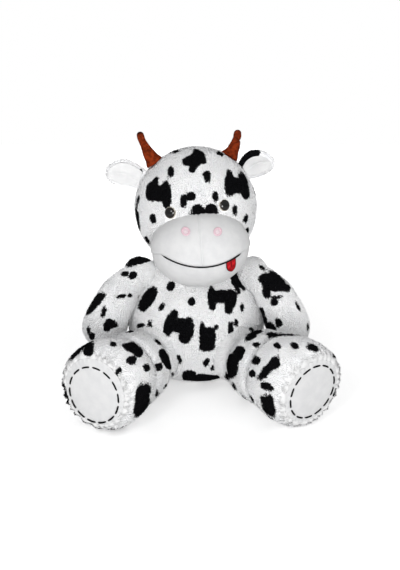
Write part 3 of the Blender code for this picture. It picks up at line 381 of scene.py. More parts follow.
ARM_ROOT_RADIUS = 0.029
ARM_LENGTH = 0.147
ARM_WAIST = 58.0
ARM_SWELLS = ((0.42, 0.0330), (0.74, 0.0370))
ARM_SPREAD = {"right": 31.2, "left": 32.0}
ARM_FORWARD = {"right": 23.0, "left": 20.0}
ARM_OPENING, ARM_CLOSING = 26.0, 18.0
SHOULDER_HEIGHT, SHOULDER_AZIMUTH, SHOULDER_SEAT = 0.181, 78.0, 0.0186

LEG_ROOT_RADIUS = 0.050
LEG_LENGTH = 0.203
LEG_WAIST = 60.0
LEG_SWELLS = ((0.36, 0.0600), (0.55, 0.0625), (0.81, 0.0690))
LEG_TURN = {"right": 23.5, "left": 31.5}
FOOT_TURN = 4.5
FOOT_HEIGHT = 0.0685
SOLE_PITCH = {"right": 1.0, "left": -8.0}
SOLE_RADIUS = 0.0535
RIM_BACK, RIM_INWARDS = (0.0006, 0.0020, 0.0036), (0.0007, 0.0011, 0.0012)
HIP_HEIGHT, HIP_SIDE, HIP_SEAT = 0.059, 0.072, 0.0106

STRAIGHT_END = 0.009
ARC_STEPS = 40


# %% Torso form
def torso_section(height):
    """Half width, half depth and middle y at a height: a sine of the height's turn, raised and scaled."""
    share = np.clip((height + FLOOR_CUT) / (TORSO_HEIGHT + FLOOR_CUT), 0.0, 1.0)
    turn = np.arccos(1 - 2 * share)
    fullness = blend(TORSO_FULLNESS, share)
    half_width = TORSO_HALF_WIDTH * blend(TORSO_SWELLS, share) * np.abs(np.sin(turn)) ** fullness
    return half_width, half_width * blend(TORSO_DEPTHS, share), TORSO_LEAN * share


def torso_egg(u, v):
    """Height goes with the cosine of half a turn of u; the ring there is an ellipse that starts at the front."""
    height = (1 - np.cos(np.pi * u)) / 2 * (TORSO_HEIGHT + FLOOR_CUT) - FLOOR_CUT
    half_width, half_depth, middle = torso_section(height)
    turn = 2 * math.pi * v
    return np.stack([half_width * np.sin(turn), middle - half_depth * np.cos(turn), height], axis=-1)


def torso_side(height, azimuth):
    """The torso's point at a height and an azimuth, and the outward normal there."""
    share = (height + FLOOR_CUT) / (TORSO_HEIGHT + FLOOR_CUT)
    u, v = np.array(math.acos(1 - 2 * share) / math.pi), np.array(azimuth / 360.0)
    point, normal, _ = form_frame(torso_egg, u, v)
    return point, normal


# %% Limb forms
def limb_profile(root_radius, waist_angle, stations, end):
    """Distances and radii along a limb: an arc of the root's ball, a half wave to each station, an ellipse's
    quarter to the end."""
    turns = np.linspace(0, math.pi - math.radians(waist_angle), ARC_STEPS)
    distances, radii = [-root_radius * np.cos(turns)], [root_radius * np.sin(turns)]
    steps = np.arange(1, ARC_STEPS + 1) / ARC_STEPS
    for distance, radius in stations:
        start, start_radius = distances[-1][-1], radii[-1][-1]
        distances.append(start + (distance - start) * steps)
        radii.append(start_radius + (radius - start_radius) * (1 - np.cos(math.pi * steps)) / 2)
    start, start_radius = distances[-1][-1], radii[-1][-1]
    distances.append(start + (end[0] - start) * np.sin(math.pi / 2 * steps))
    radii.append(end[1] + (start_radius - end[1]) * np.cos(math.pi / 2 * steps))
    return np.concatenate(distances), np.concatenate(radii)


def limb_spine(root, direction, straight, end, finish, length, reference):
    """Arrays along a limb: distance, centre and two cross axes. The spine is straight through the ball, then a
    Bezier curve, and straight again at its end."""
    distances = np.linspace(-0.06, length + 0.01, 500)
    leave, arrive = root + direction * straight, end - finish * STRAIGHT_END
    reach = (length - straight - STRAIGHT_END) / 3
    controls = (leave, leave + direction * reach, arrive - finish * reach, arrive)
    slopes = [(second - first) * 3 for first, second in zip(controls, controls[1:])]
    share = np.clip((distances - straight) / (length - straight - STRAIGHT_END), 0.0, 1.0)
    centres, alongs = blend(controls, share), unit(blend(slopes, share))
    before, after = distances < straight, distances > length - STRAIGHT_END
    centres[before] = root + np.outer(distances[before], direction)
    alongs[before] = direction
    centres[after] = end + np.outer(distances[after] - length, finish)
    alongs[after] = finish
    across = unit(np.cross(reference, alongs))
    return distances, centres, across, np.cross(alongs, across)


def limb_form(profile, spine):
    """Rings square to the spine, spaced evenly along the profile's own length."""
    distances, radii = profile
    lengths = np.concatenate([[0], np.cumsum(np.hypot(np.diff(distances), np.diff(radii)))])
    lengths /= lengths[-1]
    stations, *columns = spine

    def made(u, v):
        distance, radius = np.interp(u, lengths, distances), np.interp(u, lengths, radii)
        centre, across, upward = (
            np.stack([np.interp(distance, stations, column[:, k]) for k in range(3)], axis=-1)
            for column in columns
        )
        return centre + radius[..., None] * on_ring(2 * math.pi * v, across, upward)

    return made


def arm_form(side):
    """The arm's form and its root: from the shoulder out and down, with a soft bend."""
    sign = SIDES[side]
    surface, outward = torso_side(SHOULDER_HEIGHT, SHOULDER_AZIMUTH)
    root = (surface + outward * (ARM_ROOT_RADIUS - SHOULDER_SEAT)) * (sign, 1.0, 1.0)
    forward = math.radians(ARM_FORWARD[side])

    def heading(angle):
        spread, level = math.radians(angle), math.cos(forward)
        return np.array((sign * math.sin(spread) * level, -math.sin(forward), -math.cos(spread) * level))

    start, finish = heading(ARM_SPREAD[side] + ARM_OPENING), heading(ARM_SPREAD[side] - ARM_CLOSING)
    straight = ARM_ROOT_RADIUS * math.cos(math.radians(ARM_WAIST))
    end = root + heading(ARM_SPREAD[side]) * ARM_LENGTH
    spine = limb_spine(root, start, straight, end, finish, ARM_LENGTH, unit(np.cross(start, finish)))
    stations = [(ARM_LENGTH * share, radius) for share, radius in ARM_SWELLS]
    return limb_form(limb_profile(ARM_ROOT_RADIUS, ARM_WAIST, stations, (ARM_LENGTH, 0.0)), spine), root


def leg_form(side):
    """The leg's form, root and foot axes: straight out along the floor, lowered until it just rests on it."""
    sign = SIDES[side]
    half_width, half_depth, middle = torso_section(HIP_HEIGHT)
    share = HIP_SIDE / half_width
    surface = np.array((HIP_SIDE, middle - half_depth * math.sqrt(1 - share**2), HIP_HEIGHT))
    outward = unit((HIP_SIDE / half_width**2, (surface[1] - middle) / half_depth**2, 0.0))
    root = surface - outward * HIP_SEAT
    root[0] = HIP_SIDE
    root = root * (sign, 1.0, 1.0)
    turn, end_turn = math.radians(LEG_TURN[side]), math.radians(LEG_TURN[side] + FOOT_TURN)
    pitch = math.radians(SOLE_PITCH[side])
    start = np.array((sign * math.sin(turn), -math.cos(turn), 0.0))
    finish = np.array((
        sign * math.sin(end_turn) * math.cos(pitch), -math.cos(end_turn) * math.cos(pitch), math.sin(pitch)
    ))
    straight = LEG_ROOT_RADIUS * math.cos(math.radians(LEG_WAIST))
    stations = [(LEG_LENGTH * share, radius) for share, radius in LEG_SWELLS]
    distances, radii = limb_profile(LEG_ROOT_RADIUS, LEG_WAIST, stations, (LEG_LENGTH, SOLE_RADIUS))
    profile = (np.concatenate([distances, LEG_LENGTH - np.array(RIM_BACK)]),
               np.concatenate([radii, SOLE_RADIUS - np.array(RIM_INWARDS)]))
    end = root + start * LEG_LENGTH
    end[2] = FOOT_HEIGHT
    u, v = np.meshgrid(np.linspace(0, 1, 60), np.arange(64) / 64, indexing="ij")
    for _ in range(4):
        form = limb_form(profile, limb_spine(root, start, straight, end, finish, LEG_LENGTH, UPWARDS))
        end[2] -= form(u, v)[..., 2].min() + FLOOR_CUT
    return form, root, finish, end


arms = {side: arm_form(side) for side in SIDES}
legs = {side: leg_form(side) for side in SIDES}
for side in SIDES:
    print(side, "shoulder", np.round(arms[side][1], 4), "hip", np.round(legs[side][1], 4))

# %% Head form
HEAD_RADIUS = 0.1025
HEAD_CENTRE = np.array((0.0, 0.0, 0.3025))
HEAD_YAW, HEAD_ROLL = math.radians(2.6), math.radians(-4.5)
yaw = np.array((
    (math.cos(HEAD_YAW), -math.sin(HEAD_YAW), 0.0), (math.sin(HEAD_YAW), math.cos(HEAD_YAW), 0.0), (0.0, 0.0, 1.0)
))
roll = np.array((
    (math.cos(HEAD_ROLL), 0.0, math.sin(HEAD_ROLL)), (0.0, 1.0, 0.0), (-math.sin(HEAD_ROLL), 0.0, math.cos(HEAD_ROLL))
))
HEAD_TURN = yaw @ roll


def on_head(points):
    """Points of the head's own frame, its face towards -Y, put where the head sits."""
    return np.asarray(points) @ HEAD_TURN.T + HEAD_CENTRE


def head_direction(azimuth, rise):
    """A unit direction from the head's centre: azimuth from the face towards the toy's left, then upwards."""
    azimuth, rise = math.radians(azimuth), math.radians(rise)
    return np.array((
        math.sin(azimuth) * math.cos(rise), -math.cos(azimuth) * math.cos(rise), math.sin(rise)
    ))


def head_ball(u, v):
    """A ball about the head's upright axis: height by the cosine of u's half turn."""
    rise, turn = np.pi * u, 2 * math.pi * v
    around = np.sin(rise) * HEAD_RADIUS
    return on_head(np.stack([around * np.sin(turn), -around * np.cos(turn), -HEAD_RADIUS * np.cos(rise)], axis=-1))


EYE_AZIMUTH = 25.5
EYE_RISE = {"right": 8.5, "left": 11.0}
EAR_RISE, HORN_RISE = 33.0, 52.5
EYE_WAYS = {side: head_direction(sign * EYE_AZIMUTH, EYE_RISE[side]) for side, sign in SIDES.items()}
EAR_WAYS = {side: head_direction(sign * 90.0, EAR_RISE) for side, sign in SIDES.items()}
HORN_WAYS = {side: head_direction(sign * 90.0, HORN_RISE) for side, sign in SIDES.items()}

# %% [markdown]
# ## The printed spots
# The cloth is printed with common cow spots: small ovals, and larger blots that are a few ovals run
# together. Each row below is one oval: its place and half sizes in pixels of the picture, its turn in degrees
# and, where it is squarer than the others, a power of its own.
# An oval's value is how far inside it a point lies, and a soft maximum of all values makes neighbours flow
# into each other. Where the picture shows nothing, seeded spots of the same kinds go on.

# %% Spot tables
HEAD_SPOTS = (
    (151.9, 191.5, 6.2, 9.5, -6), (154.8, 183.8, 3.2, 6.6, -20), (165.8, 194.0, 4.2, 12.4, 3),
    (158.8, 193.5, 7.5, 7.2, 0), (166.9, 204.0, 2.6, 5.0, 20),
    (229.2, 184.5, 4.8, 11.4, 0), (229.6, 174.5, 2.6, 5.4, 0), (236.3, 184.8, 7.2, 7.4, 0),
    (243.4, 184.0, 4.6, 12.8, 12), (245.6, 193.5, 3.0, 4.5, 0),
    (198.1, 155.5, 5.6, 6.0, 0), (189.3, 161.0, 6.0, 4.6, 25), (193.5, 161.5, 6.2, 6.4, 0),
    (202.0, 159.8, 4.4, 3.4, -20), (192.3, 168.5, 2.8, 3.6, -20), (196.5, 150.5, 3.0, 2.0, 0),
    (176.3, 151.9, 3.0, 2.0, 10), (172.0, 149.0, 5.8, 1.6, 22), (220.0, 153.8, 3.2, 3.6, -30),
    (171.1, 172.0, 2.9, 5.6, 4), (206.6, 176.3, 3.3, 5.6, 8), (182.6, 201.3, 2.9, 5.6, 0),
    (190.3, 196.3, 4.2, 4.0, 0), (215.3, 195.6, 2.6, 4.3, 10),
    (197.6, 210.2, 5.2, 4.8, 0), (211.9, 209.6, 5.6, 4.8, 0), (204.4, 214.0, 12.0, 3.2, 0),
    (234.3, 209.2, 2.3, 4.4, 0), (246.2, 218.8, 1.9, 4.2, -14), (246.9, 230.0, 1.8, 2.5, 0),
    (254.9, 190.6, 1.6, 5.0, 0), (153.6, 218.1, 2.8, 4.4, 12), (138.8, 199.0, 1.2, 3.2, 0),
    (137.2, 217.0, 1.6, 13.0, 6), (147.6, 240.2, 2.6, 3.6, 40), (155.2, 162.6, 2.6, 4.0, -20),
)
TORSO_SPOTS = (
    (170.6, 324.0, 5.0, 11.6, -14), (181.3, 326.5, 9.2, 7.2, 0), (190.0, 327.5, 4.8, 9.8, 0),
    (183.3, 337.2, 5.2, 6.2, 0), (174.0, 314.0, 3.2, 4.0, 0),
    (211.5, 298.0, 3.9, 10.6, 0), (221.3, 297.0, 9.4, 6.0, 0), (230.0, 298.6, 6.0, 9.0, 0),
    (228.1, 308.3, 4.2, 5.4, 0), (211.8, 306.0, 2.8, 3.2, 0),
    (208.1, 338.2, 7.6, 11.6, 0, 4.5), (202.6, 326.8, 2.0, 4.0, 10), (215.4, 327.8, 2.2, 2.0, 0),
    (170.9, 286.0, 3.9, 4.8, -20), (192.5, 301.5, 3.2, 3.8, -30), (162.6, 306.5, 2.5, 3.9, -24),
    (147.8, 298.3, 13.6, 6.2, 55), (149.4, 324.4, 2.2, 4.4, 0), (141.6, 326.8, 4.0, 2.8, 10),
    (129.0, 329.5, 3.5, 2.5, 30),
    (240.5, 278.5, 7.8, 7.2, 0), (237.6, 281.5, 5.4, 5.0, 0), (244.5, 272.0, 3.4, 5.4, 0),
    (246.4, 282.0, 2.2, 4.4, 0),
    (250.0, 273.8, 3.8, 1.4, -36), (238.1, 289.9, 2.3, 3.8, 18), (242.5, 307.8, 1.8, 4.2, 0),
    (236.5, 321.5, 1.8, 4.1, 0), (231.3, 326.7, 2.5, 5.2, 0), (234.6, 340.4, 2.3, 4.5, 14),
    (176.0, 359.2, 2.3, 4.6, 22), (205.9, 362.5, 2.7, 4.1, -22), (217.5, 367.8, 2.2, 3.6, -36),
    (189.5, 375.8, 7.4, 6.4, 0), (200.5, 378.0, 8.0, 5.0, 0), (209.0, 378.8, 10.5, 4.6, 0),
    (215.4, 377.5, 4.4, 3.8, 0),
)
ARM_RIGHT_SPOTS = (
    (139.0, 260.0, 13.8, 4.6, 20), (147.5, 258.0, 5.4, 3.6, 10), (125.0, 273.6, 3.4, 2.5, 10),
    (133.3, 275.3, 4.2, 3.2, 34), (120.9, 295.6, 4.7, 1.6, 3), (130.8, 294.8, 1.4, 1.6, 0),
    (95.2, 302.6, 14.6, 4.6, 47), (104.0, 311.4, 2.4, 4.3, -16), (110.0, 323.6, 5.0, 4.6, 0),
    (106.8, 328.6, 3.0, 2.8, 0), (115.2, 325.2, 3.0, 2.0, 0), (91.4, 336.0, 3.2, 3.6, 0),
    (89.0, 329.8, 1.6, 4.0, 0),
)
ARM_LEFT_SPOTS = (
    (271.3, 282.6, 11.0, 7.6, -24), (277.5, 278.5, 9.5, 4.2, -40), (287.0, 288.0, 4.5, 3.6, -40),
    (266.0, 292.0, 3.8, 5.8, 6), (263.9, 278.0, 5.4, 3.4, 20),
    (281.0, 288.0, 4.6, 2.6, -34), (277.6, 297.2, 4.8, 1.4, 4), (274.4, 303.0, 4.0, 2.7, 10),
    (262.5, 268.2, 3.8, 1.7, -40), (298.0, 306.4, 1.3, 4.6, 26), (307.4, 326.4, 1.1, 3.8, 10),
    (278.6, 322.5, 3.0, 4.4, 22), (256.9, 313.9, 3.3, 5.0, 20), (261.4, 321.6, 5.4, 5.0, 0),
    (269.6, 327.8, 4.8, 6.2, 20), (289.4, 338.0, 5.4, 2.2, -12), (277.4, 340.0, 1.6, 4.2, 40),
)
LEG_RIGHT_SPOTS = (
    (141.9, 400.6, 5.6, 16.0, -8, 4.5), (156.3, 393.4, 1.1, 5.0, 0), (148.8, 403.9, 1.8, 3.0, -10),
    (165.4, 386.4, 2.6, 1.1, 50), (147.6, 410.0, 7.5, 1.0, 48), (72.6, 347.8, 9.0, 3.0, 46),
    (84.8, 343.6, 9.4, 3.6, 4), (88.2, 350.6, 4.6, 4.6, 0), (113.8, 344.4, 2.6, 1.7, -40),
    (132.6, 347.4, 9.2, 3.4, -6), (137.2, 351.2, 5.4, 6.0, 30), (131.9, 360.6, 3.9, 3.3, 0),
    (147.0, 367.5, 3.3, 3.3, 0), (158.0, 367.4, 4.0, 3.2, 0), (163.2, 355.2, 5.2, 6.0, 20),
    (167.6, 362.0, 3.4, 7.8, 26), (158.0, 342.6, 1.2, 3.4, 40), (172.4, 374.0, 1.1, 2.4, 10),
    (65.0, 400.0, 2.0, 8.0, 6), (130.0, 331.0, 5.2, 2.2, 48), (63.4, 385.2, 1.4, 3.0, 0),
)
LEG_LEFT_SPOTS = (
    (268.1, 406.6, 4.8, 10.6, 12, 4.5), (295.0, 345.6, 3.0, 2.8, 0), (313.1, 348.0, 5.3, 2.9, -16),
    (333.8, 356.0, 1.9, 2.4, 0), (276.9, 345.6, 3.4, 2.0, -24), (256.3, 345.4, 3.5, 1.9, 4),
    (255.6, 360.9, 4.3, 3.2, 0), (252.5, 373.8, 3.6, 2.6, 34), (268.4, 368.6, 13.6, 2.9, 52),
    (274.4, 364.2, 3.6, 4.6, -10), (238.5, 353.5, 6.4, 6.0, 20), (229.8, 366.5, 7.4, 12.6, -24),
    (228.6, 376.6, 3.8, 5.2, 0), (233.5, 386.3, 1.5, 3.8, 16), (243.1, 401.3, 1.6, 10.4, 28),
    (251.0, 398.5, 1.8, 3.8, 12), (265.0, 386.4, 3.7, 3.2, 0), (270.4, 388.8, 1.9, 1.9, 0),
    (265.0, 423.0, 4.0, 1.5, -24), (334.4, 390.0, 1.5, 5.6, -10), (251.0, 336.0, 7.5, 2.4, 36),
    (256.5, 331.8, 5.0, 3.4, 0), (251.2, 329.0, 2.2, 2.4, 0),
)
SPOT_POWER = 2.3
SPOT_MARGIN = 0.0005
FLOW = 0.0012


# %% Spots as a function
FACING = 0.05
TURNED_AWAY = -0.02
BLOT_OVALS = 5
CANDIDATES = 1500
HIDDEN_SPACING = 0.026
LARGE_SHARE = 0.5
LARGE_SIZES, SMALL_SIZES = (0.011, 0.016), (0.006, 0.010)


def near_balls(points, balls):
    """True for points inside any of the balls."""
    found = np.zeros(points.shape[:-1], bool)
    for centre, radius in balls:
        found |= np.linalg.norm(points - centre, axis=-1) < radius
    return found


def printed_spots(table, points, normals, sunk):
    """Rows of centre, two axes, half sizes, power and reach, each on the point that the camera sees there.

    Points inside the sunk balls, where another piece sits in a hollow of this one, are left out.
    """
    pixels = in_picture(points)
    hidden = np.where((normals @ TO_CAMERA > FACING) & ~near_balls(points, sunk), 0.0, 1e6)
    rows = []
    for x, y, half_x, half_y, angle, *power in table:
        centre = points[np.argmin((pixels[:, 0] - x) ** 2 + (pixels[:, 1] - y) ** 2 + hidden)]
        c, s = math.cos(math.radians(angle)), math.sin(math.radians(angle))
        first, second = c * PICTURE_RIGHT + s * PICTURE_UP, c * PICTURE_UP - s * PICTURE_RIGHT
        half = tuple(size * METRES_PER_PIXEL + SPOT_MARGIN for size in (half_x, half_y))
        rows.append((centre, first, second, half, power[0] if power else SPOT_POWER, max(half) * 1.15 + 0.004))
    return rows


def hidden_spots(points, normals, rows, seed):
    """Seeded spots where the camera doesn't look, kept apart from each other and from the printed ones."""
    draws = np.random.default_rng(seed)
    taken = [(row[0], max(row[3])) for row in rows]
    candidates = draws.permutation(np.nonzero(normals @ TO_CAMERA < TURNED_AWAY)[0])[:CANDIDATES]
    made = []
    for index in candidates:
        centre, normal = points[index], normals[index]
        large = draws.random() < LARGE_SHARE
        size = draws.uniform(*(LARGE_SIZES if large else SMALL_SIZES))
        room = HIDDEN_SPACING * 0.5 + size * 1.5
        if any(np.linalg.norm(centre - place) < room + other for place, other in taken):
            continue
        taken.append((centre, size * 1.5 if large else size))
        first = unit(np.cross(normal, draws.normal(size=3)))
        second = np.cross(normal, first)
        for k in range(BLOT_OVALS if large else 1):
            turn = 2 * math.pi * (k + draws.random() * 0.7) / BLOT_OVALS
            away = size * draws.uniform(0.4, 1.1) if large else 0.0
            place = centre + (first * math.cos(turn) + second * math.sin(turn)) * away
            half = (size * draws.uniform(0.5, 0.85), size * draws.uniform(0.5, 1.0))
            made.append((place, first, second, half, SPOT_POWER, size * 1.9))
    return made


def spot_depth(rows, points):
    """How far inside the nearest spot each point lies: a soft maximum over all the ovals, made ragged by waves."""
    total = np.full(points.shape[:-1], math.exp(-12.0))
    for centre, first, second, half, power, reach in rows:
        offset = points - centre
        x, y = np.abs(offset @ first) / half[0], np.abs(offset @ second) / half[1]
        depth = (1 - (x**power + y**power) ** (1 / power)) * min(half)
        depth = np.minimum(depth, reach - np.linalg.norm(offset, axis=-1))
        total += np.exp(np.clip(depth / FLOW, -12.0, 40.0))
    ragged = 0.0006 * ripple(points, 0.016, 91) + 0.0003 * ripple(points, 0.007, 92)
    return np.log(total) * FLOW + ragged


# %% [markdown]
# ## The plush finish
# The pile is white polyester with black print. The attribute "spot" holds how deep a point lies in a spot, so the
# edge stays crisp at any size; a fine noise frays it as the pile does. The knitted backing under the pile is painted a
# little greyer, as painted shade where the pile lies over it.

# %% Plush material
# Painted shade: the grey the white is darkened to beside the soles.
RIM_SHADE_TONE = (0.70, 0.70, 0.702)


def plush_material(name, light, shaded):
    """White in two tones, printed black where the attribute "spot" is above a frayed zero, and darkened
    beside the soles by painted shade that a per-point attribute holds."""
    made, tree, shader = new_material(name, light, 0.97, Specular_IOR_Level=0.02)
    fray = remap(tree, noise_on_object(tree, 520.0, 2.0), 0.3, 0.7, -0.0011, 0.0011)
    depth = combine(tree, "ADD", attribute(tree, "spot"), fray)
    inside = remap(tree, depth, -0.0003, 0.0003)
    cloud = remap(tree, noise_on_object(tree, 38.0, 4.0), 0.35, 0.7, smooth=True)
    white = mix_colours(tree, cloud, light, shaded)
    # Painted shade beside the soles: the white is mixed towards a grey there.
    white = mix_colours(tree, attribute(tree, "rim_shade"), white, RIM_SHADE_TONE)
    strand = remap(tree, noise_on_object(tree, 900.0, 2.0), 0.35, 0.65)
    black = mix_colours(tree, strand, (0.002, 0.002, 0.0025), (0.008, 0.008, 0.009))
    paint(tree, shader, mix_colours(tree, inside, white, black))
    bump_from(tree, shader, noise_on_object(tree, 700.0, 3.0), 0.0008, 0.5)
    return made


plush = plush_material("printed_plush", (0.975, 0.975, 0.98), (0.95, 0.955, 0.965))
# A copy of the plush, a little greyer: painted shade for the cloth under the pile.
shaded_backing = plush_material("shaded_plush_backing", (0.95, 0.95, 0.955), (0.91, 0.915, 0.93))

# %% [markdown]
# ## Covers and their pile
# A cover is sampled on a fine grid and replaces the frame's cover and filling. Its pile is one mesh of small
# closed locks: each is a flat wedge that tapers over a bend to a point, rooted in the cover and combed along
# the nap. Rows of roots are spread so that every lock has the same room, then shaken a little.


# %% Cover and pile functions
def cover(name, form, rows, sides, table, seed, body, replaced, sunk=(), seeded=True, rim_shade=None):
    """A piece of printed cloth that replaces its solids. Returns its spots, which its pile shares."""
    points, faces = sample_grid(form, rows, sides)
    _, normals, _ = form_frame(form, *(part.ravel() for part in grid_uv(rows, sides)))
    rows_of_spots = printed_spots(table, points[:-2], normals, sunk)
    if seeded:
        rows_of_spots += hidden_spots(points[:-2], normals, rows_of_spots, seed)
    values = {"spot": spot_depth(rows_of_spots, points)}
    if rim_shade is not None:
        values["rim_shade"] = rim_shade(points)
    # The coat takes the greyer copy of the plush, painted shade under the pile.
    make_piece(name, points, faces, shaded_backing, body, replaced, values)
    return rows_of_spots


LOCK_LENGTH = 0.0066
LOCK_HALF_WIDTH = 0.0014
LOCK_SPACING = 0.0029
LOCK_LEAN = 81.0
LOCK_RIDGE = 0.3
LOCK_SHOULDER = 0.8
LOCK_BENDS = (0.35, 0.28)
ROOT_DEPTH = 0.0004
LOCK_FACES = np.array((
    (0, 2, 1), (0, 1, 4), (0, 4, 3), (0, 3, 5), (0, 5, 2), (1, 5, 4), (1, 2, 5), (3, 4, 6), (3, 6, 5), (4, 5, 6)
))
LOCK_UV = np.array((
    ((0.02, 0.02), (0.2, 0.1), (0.3, 0.02)), ((0.0, 0.15), (0.3, 0.15), (0.3, 0.55)),
    ((0.0, 0.15), (0.3, 0.55), (0.0, 0.55)), ((0.33, 0.15), (0.63, 0.15), (0.63, 0.55)),
    ((0.33, 0.15), (0.63, 0.55), (0.33, 0.55)), ((0.66, 0.15), (0.96, 0.15), (0.66, 0.55)),
    ((0.96, 0.15), (0.96, 0.55), (0.66, 0.55)), ((0.0, 0.6), (0.3, 0.6), (0.15, 0.95)),
    ((0.33, 0.6), (0.63, 0.6), (0.48, 0.95)), ((0.66, 0.6), (0.96, 0.6), (0.81, 0.95)),
))


def root_places(form, spacing, draws, u_low=0.003, u_high=0.997):
    """u and v of roots: rows a spacing apart along the form, each with as many roots as its girth has room for."""
    u = np.linspace(u_low, u_high, 400)
    ring = form(*np.meshgrid(u, np.arange(48) / 48, indexing="ij"))
    girth = np.linalg.norm(np.roll(ring, -1, axis=1) - ring, axis=-1).sum(axis=1)
    along = np.concatenate([[0], np.cumsum(np.linalg.norm(np.diff(ring, axis=0), axis=-1).mean(axis=1))])
    stations = np.interp(np.arange(spacing / 2, along[-1], spacing), along, u)
    counts = np.maximum(np.interp(stations, u, girth) / spacing, 1).astype(int)
    step = spacing / along[-1]
    all_u = np.repeat(stations, counts) + draws.uniform(-0.4, 0.4, counts.sum()) * step
    all_v = np.concatenate([(np.arange(count) + draws.random()) / count for count in counts])
    all_v += draws.uniform(-0.4, 0.4, counts.sum()) / np.repeat(counts, counts)
    return np.clip(all_u, u_low, u_high), all_v


def pile(name, form, spots, seed, body, length=LOCK_LENGTH, bare=None, spacing=LOCK_SPACING, u_range=(0.003, 0.997),
         lean=LOCK_LEAN, downwards=None, width=LOCK_HALF_WIDTH, rim_shade=None):
    """One mesh of locks over a form. bare tells which roots stay without a lock."""
    draws = np.random.default_rng(seed)
    u, v = root_places(form, spacing, draws, *u_range)
    root, normal, along = form_frame(form, u, v)
    if bare is not None:
        keep = ~bare(root, u, v)
        root, normal, along = root[keep], normal[keep], along[keep]
    count = len(root)
    if downwards is not None:
        along = unit(downwards - normal * (normal @ downwards)[:, None] + along * 0.001)
    side = np.cross(normal, along)
    swirl = ripple(root, 0.045, seed)[:, None] * 0.7 + draws.normal(0, 0.28, (count, 1))
    comb = along * np.cos(swirl) + side * np.sin(swirl)
    side = np.cross(normal, comb)
    tilt = np.radians(lean + draws.normal(0, 6, (count, 1)) + 5 * ripple(root, 0.018, seed + 1)[:, None])
    size = length * draws.uniform(0.75, 1.15, (count, 1))
    lower, upper = tilt - LOCK_BENDS[0], tilt + LOCK_BENDS[1]
    start = root - normal * ROOT_DEPTH
    middle = start + (comb * np.sin(lower) + normal * np.cos(lower)) * size * 0.5
    tip = middle + (comb * np.sin(upper) + normal * np.cos(upper)) * size * 0.5
    width = width * draws.uniform(0.8, 1.2, (count, 1))
    points = np.stack([
        start - side * width, start + side * width, start + normal * width * LOCK_RIDGE,
        middle - side * width * LOCK_SHOULDER, middle + side * width * LOCK_SHOULDER,
        middle + normal * width * LOCK_RIDGE, tip,
    ], axis=1)
    points[..., 2] = np.maximum(points[..., 2], FLOOR_LIFT)
    depth = spot_depth(spots, points) * 0.8 + spot_depth(spots, root)[:, None] * 0.2
    depth += draws.normal(0, 0.0004, (count, 1))
    faces = (LOCK_FACES[None] + 7 * np.arange(count)[:, None, None]).reshape(-1, 3)
    across = math.ceil(math.sqrt(count))
    cell = np.stack([np.arange(count) % across, np.arange(count) // across], axis=-1)
    uvs = (cell[:, None, None, :] + LOCK_UV[None]) / across
    values = {"spot": depth}
    if rim_shade is not None:
        values["rim_shade"] = rim_shade(points)
    make_piece(name, points, [faces], plush, body, values=values, uvs=uvs)


# %% Torso
BALL_ROOM = 0.0006
balls = [(HEAD_CENTRE, HEAD_RADIUS)]
balls += [(arms[side][1], ARM_ROOT_RADIUS) for side in SIDES] + [(legs[side][1], LEG_ROOT_RADIUS) for side in SIDES]
balls = [(centre, radius + BALL_ROOM) for centre, radius in balls]


def torso_relief(point, u, v):
    """Soft unevenness of stuffing, and fuller sides where the torso sits wide under the arms."""
    side = np.clip((np.abs(point[..., 0]) - 0.05) / 0.06, 0, 1)
    wide = 0.0105 * side * np.exp(-(((point[..., 2] - 0.096) / 0.036) ** 2))
    return wide + 0.0012 * ripple(point, 0.11, 3) + 0.0005 * ripple(point, 0.035, 4)


torso_cloth = cloth_form(torso_egg, torso_relief, balls)
torso_bare_balls = [(centre, radius + 0.001) for centre, radius in balls]
torso_spots = cover(
    "torso_coat", torso_cloth, 120, 180, TORSO_SPOTS, 21, "torso", ("torso_cover", "torso_filling"),
    torso_bare_balls
)
pile(
    "torso_pile", torso_cloth, torso_spots, 31, "torso", downwards=-UPWARDS,
    bare=lambda point, u, v: near_balls(point, torso_bare_balls) | (point[..., 2] < 0.002),
)


# %% Head
def head_relief(point, u, v):
    """Soft unevenness of stuffing, less than elsewhere, since the head is stuffed hard."""
    return 0.0009 * ripple(point, 0.12, 5) + 0.0004 * ripple(point, 0.04, 6)


SNOUT_CENTRE = np.array((0.0, -0.082, -0.050))
SNOUT_HALF = np.array((0.082, 0.071, 0.0645))


def in_snout(point, room):
    """True inside the snout's ellipsoid, made larger by some room."""
    local = (point - HEAD_CENTRE) @ HEAD_TURN
    return (((local - SNOUT_CENTRE) / (SNOUT_HALF + room)) ** 2).sum(axis=-1) < 1


EYE_BARE, HORN_BARE = 0.0106, 0.0125
eye_seats = {side: on_head(EYE_WAYS[side] * HEAD_RADIUS) for side in SIDES}
head_bare_balls = [(eye_seats[side], EYE_BARE) for side in SIDES]
head_bare_balls += [(on_head(HORN_WAYS[side] * HEAD_RADIUS), HORN_BARE) for side in SIDES]
head_cloth = cloth_form(head_ball, head_relief)
head_spots = cover("head_coat", head_cloth, 130, 200, HEAD_SPOTS, 22, "head", ("head_cover", "head_filling"))
pile(
    "head_pile", head_cloth, head_spots, 32, "head", downwards=unit((0.0, -0.5, -0.87)),
    bare=lambda point, u, v: near_balls(point, head_bare_balls) | in_snout(point, 0.001),
)

# %% Arms and legs
LIMB_SPOTS = {"arm_right": ARM_RIGHT_SPOTS, "arm_left": ARM_LEFT_SPOTS,
              "leg_right": LEG_RIGHT_SPOTS, "leg_left": LEG_LEFT_SPOTS}


BARE_ROOT = 0.12
GATHERS = 26
GATHER_HEIGHT = 0.0015
ANKLE_SHARE = 0.56
ANKLE_DEPTH, ANKLE_WIDTH = 0.0085, 0.0065


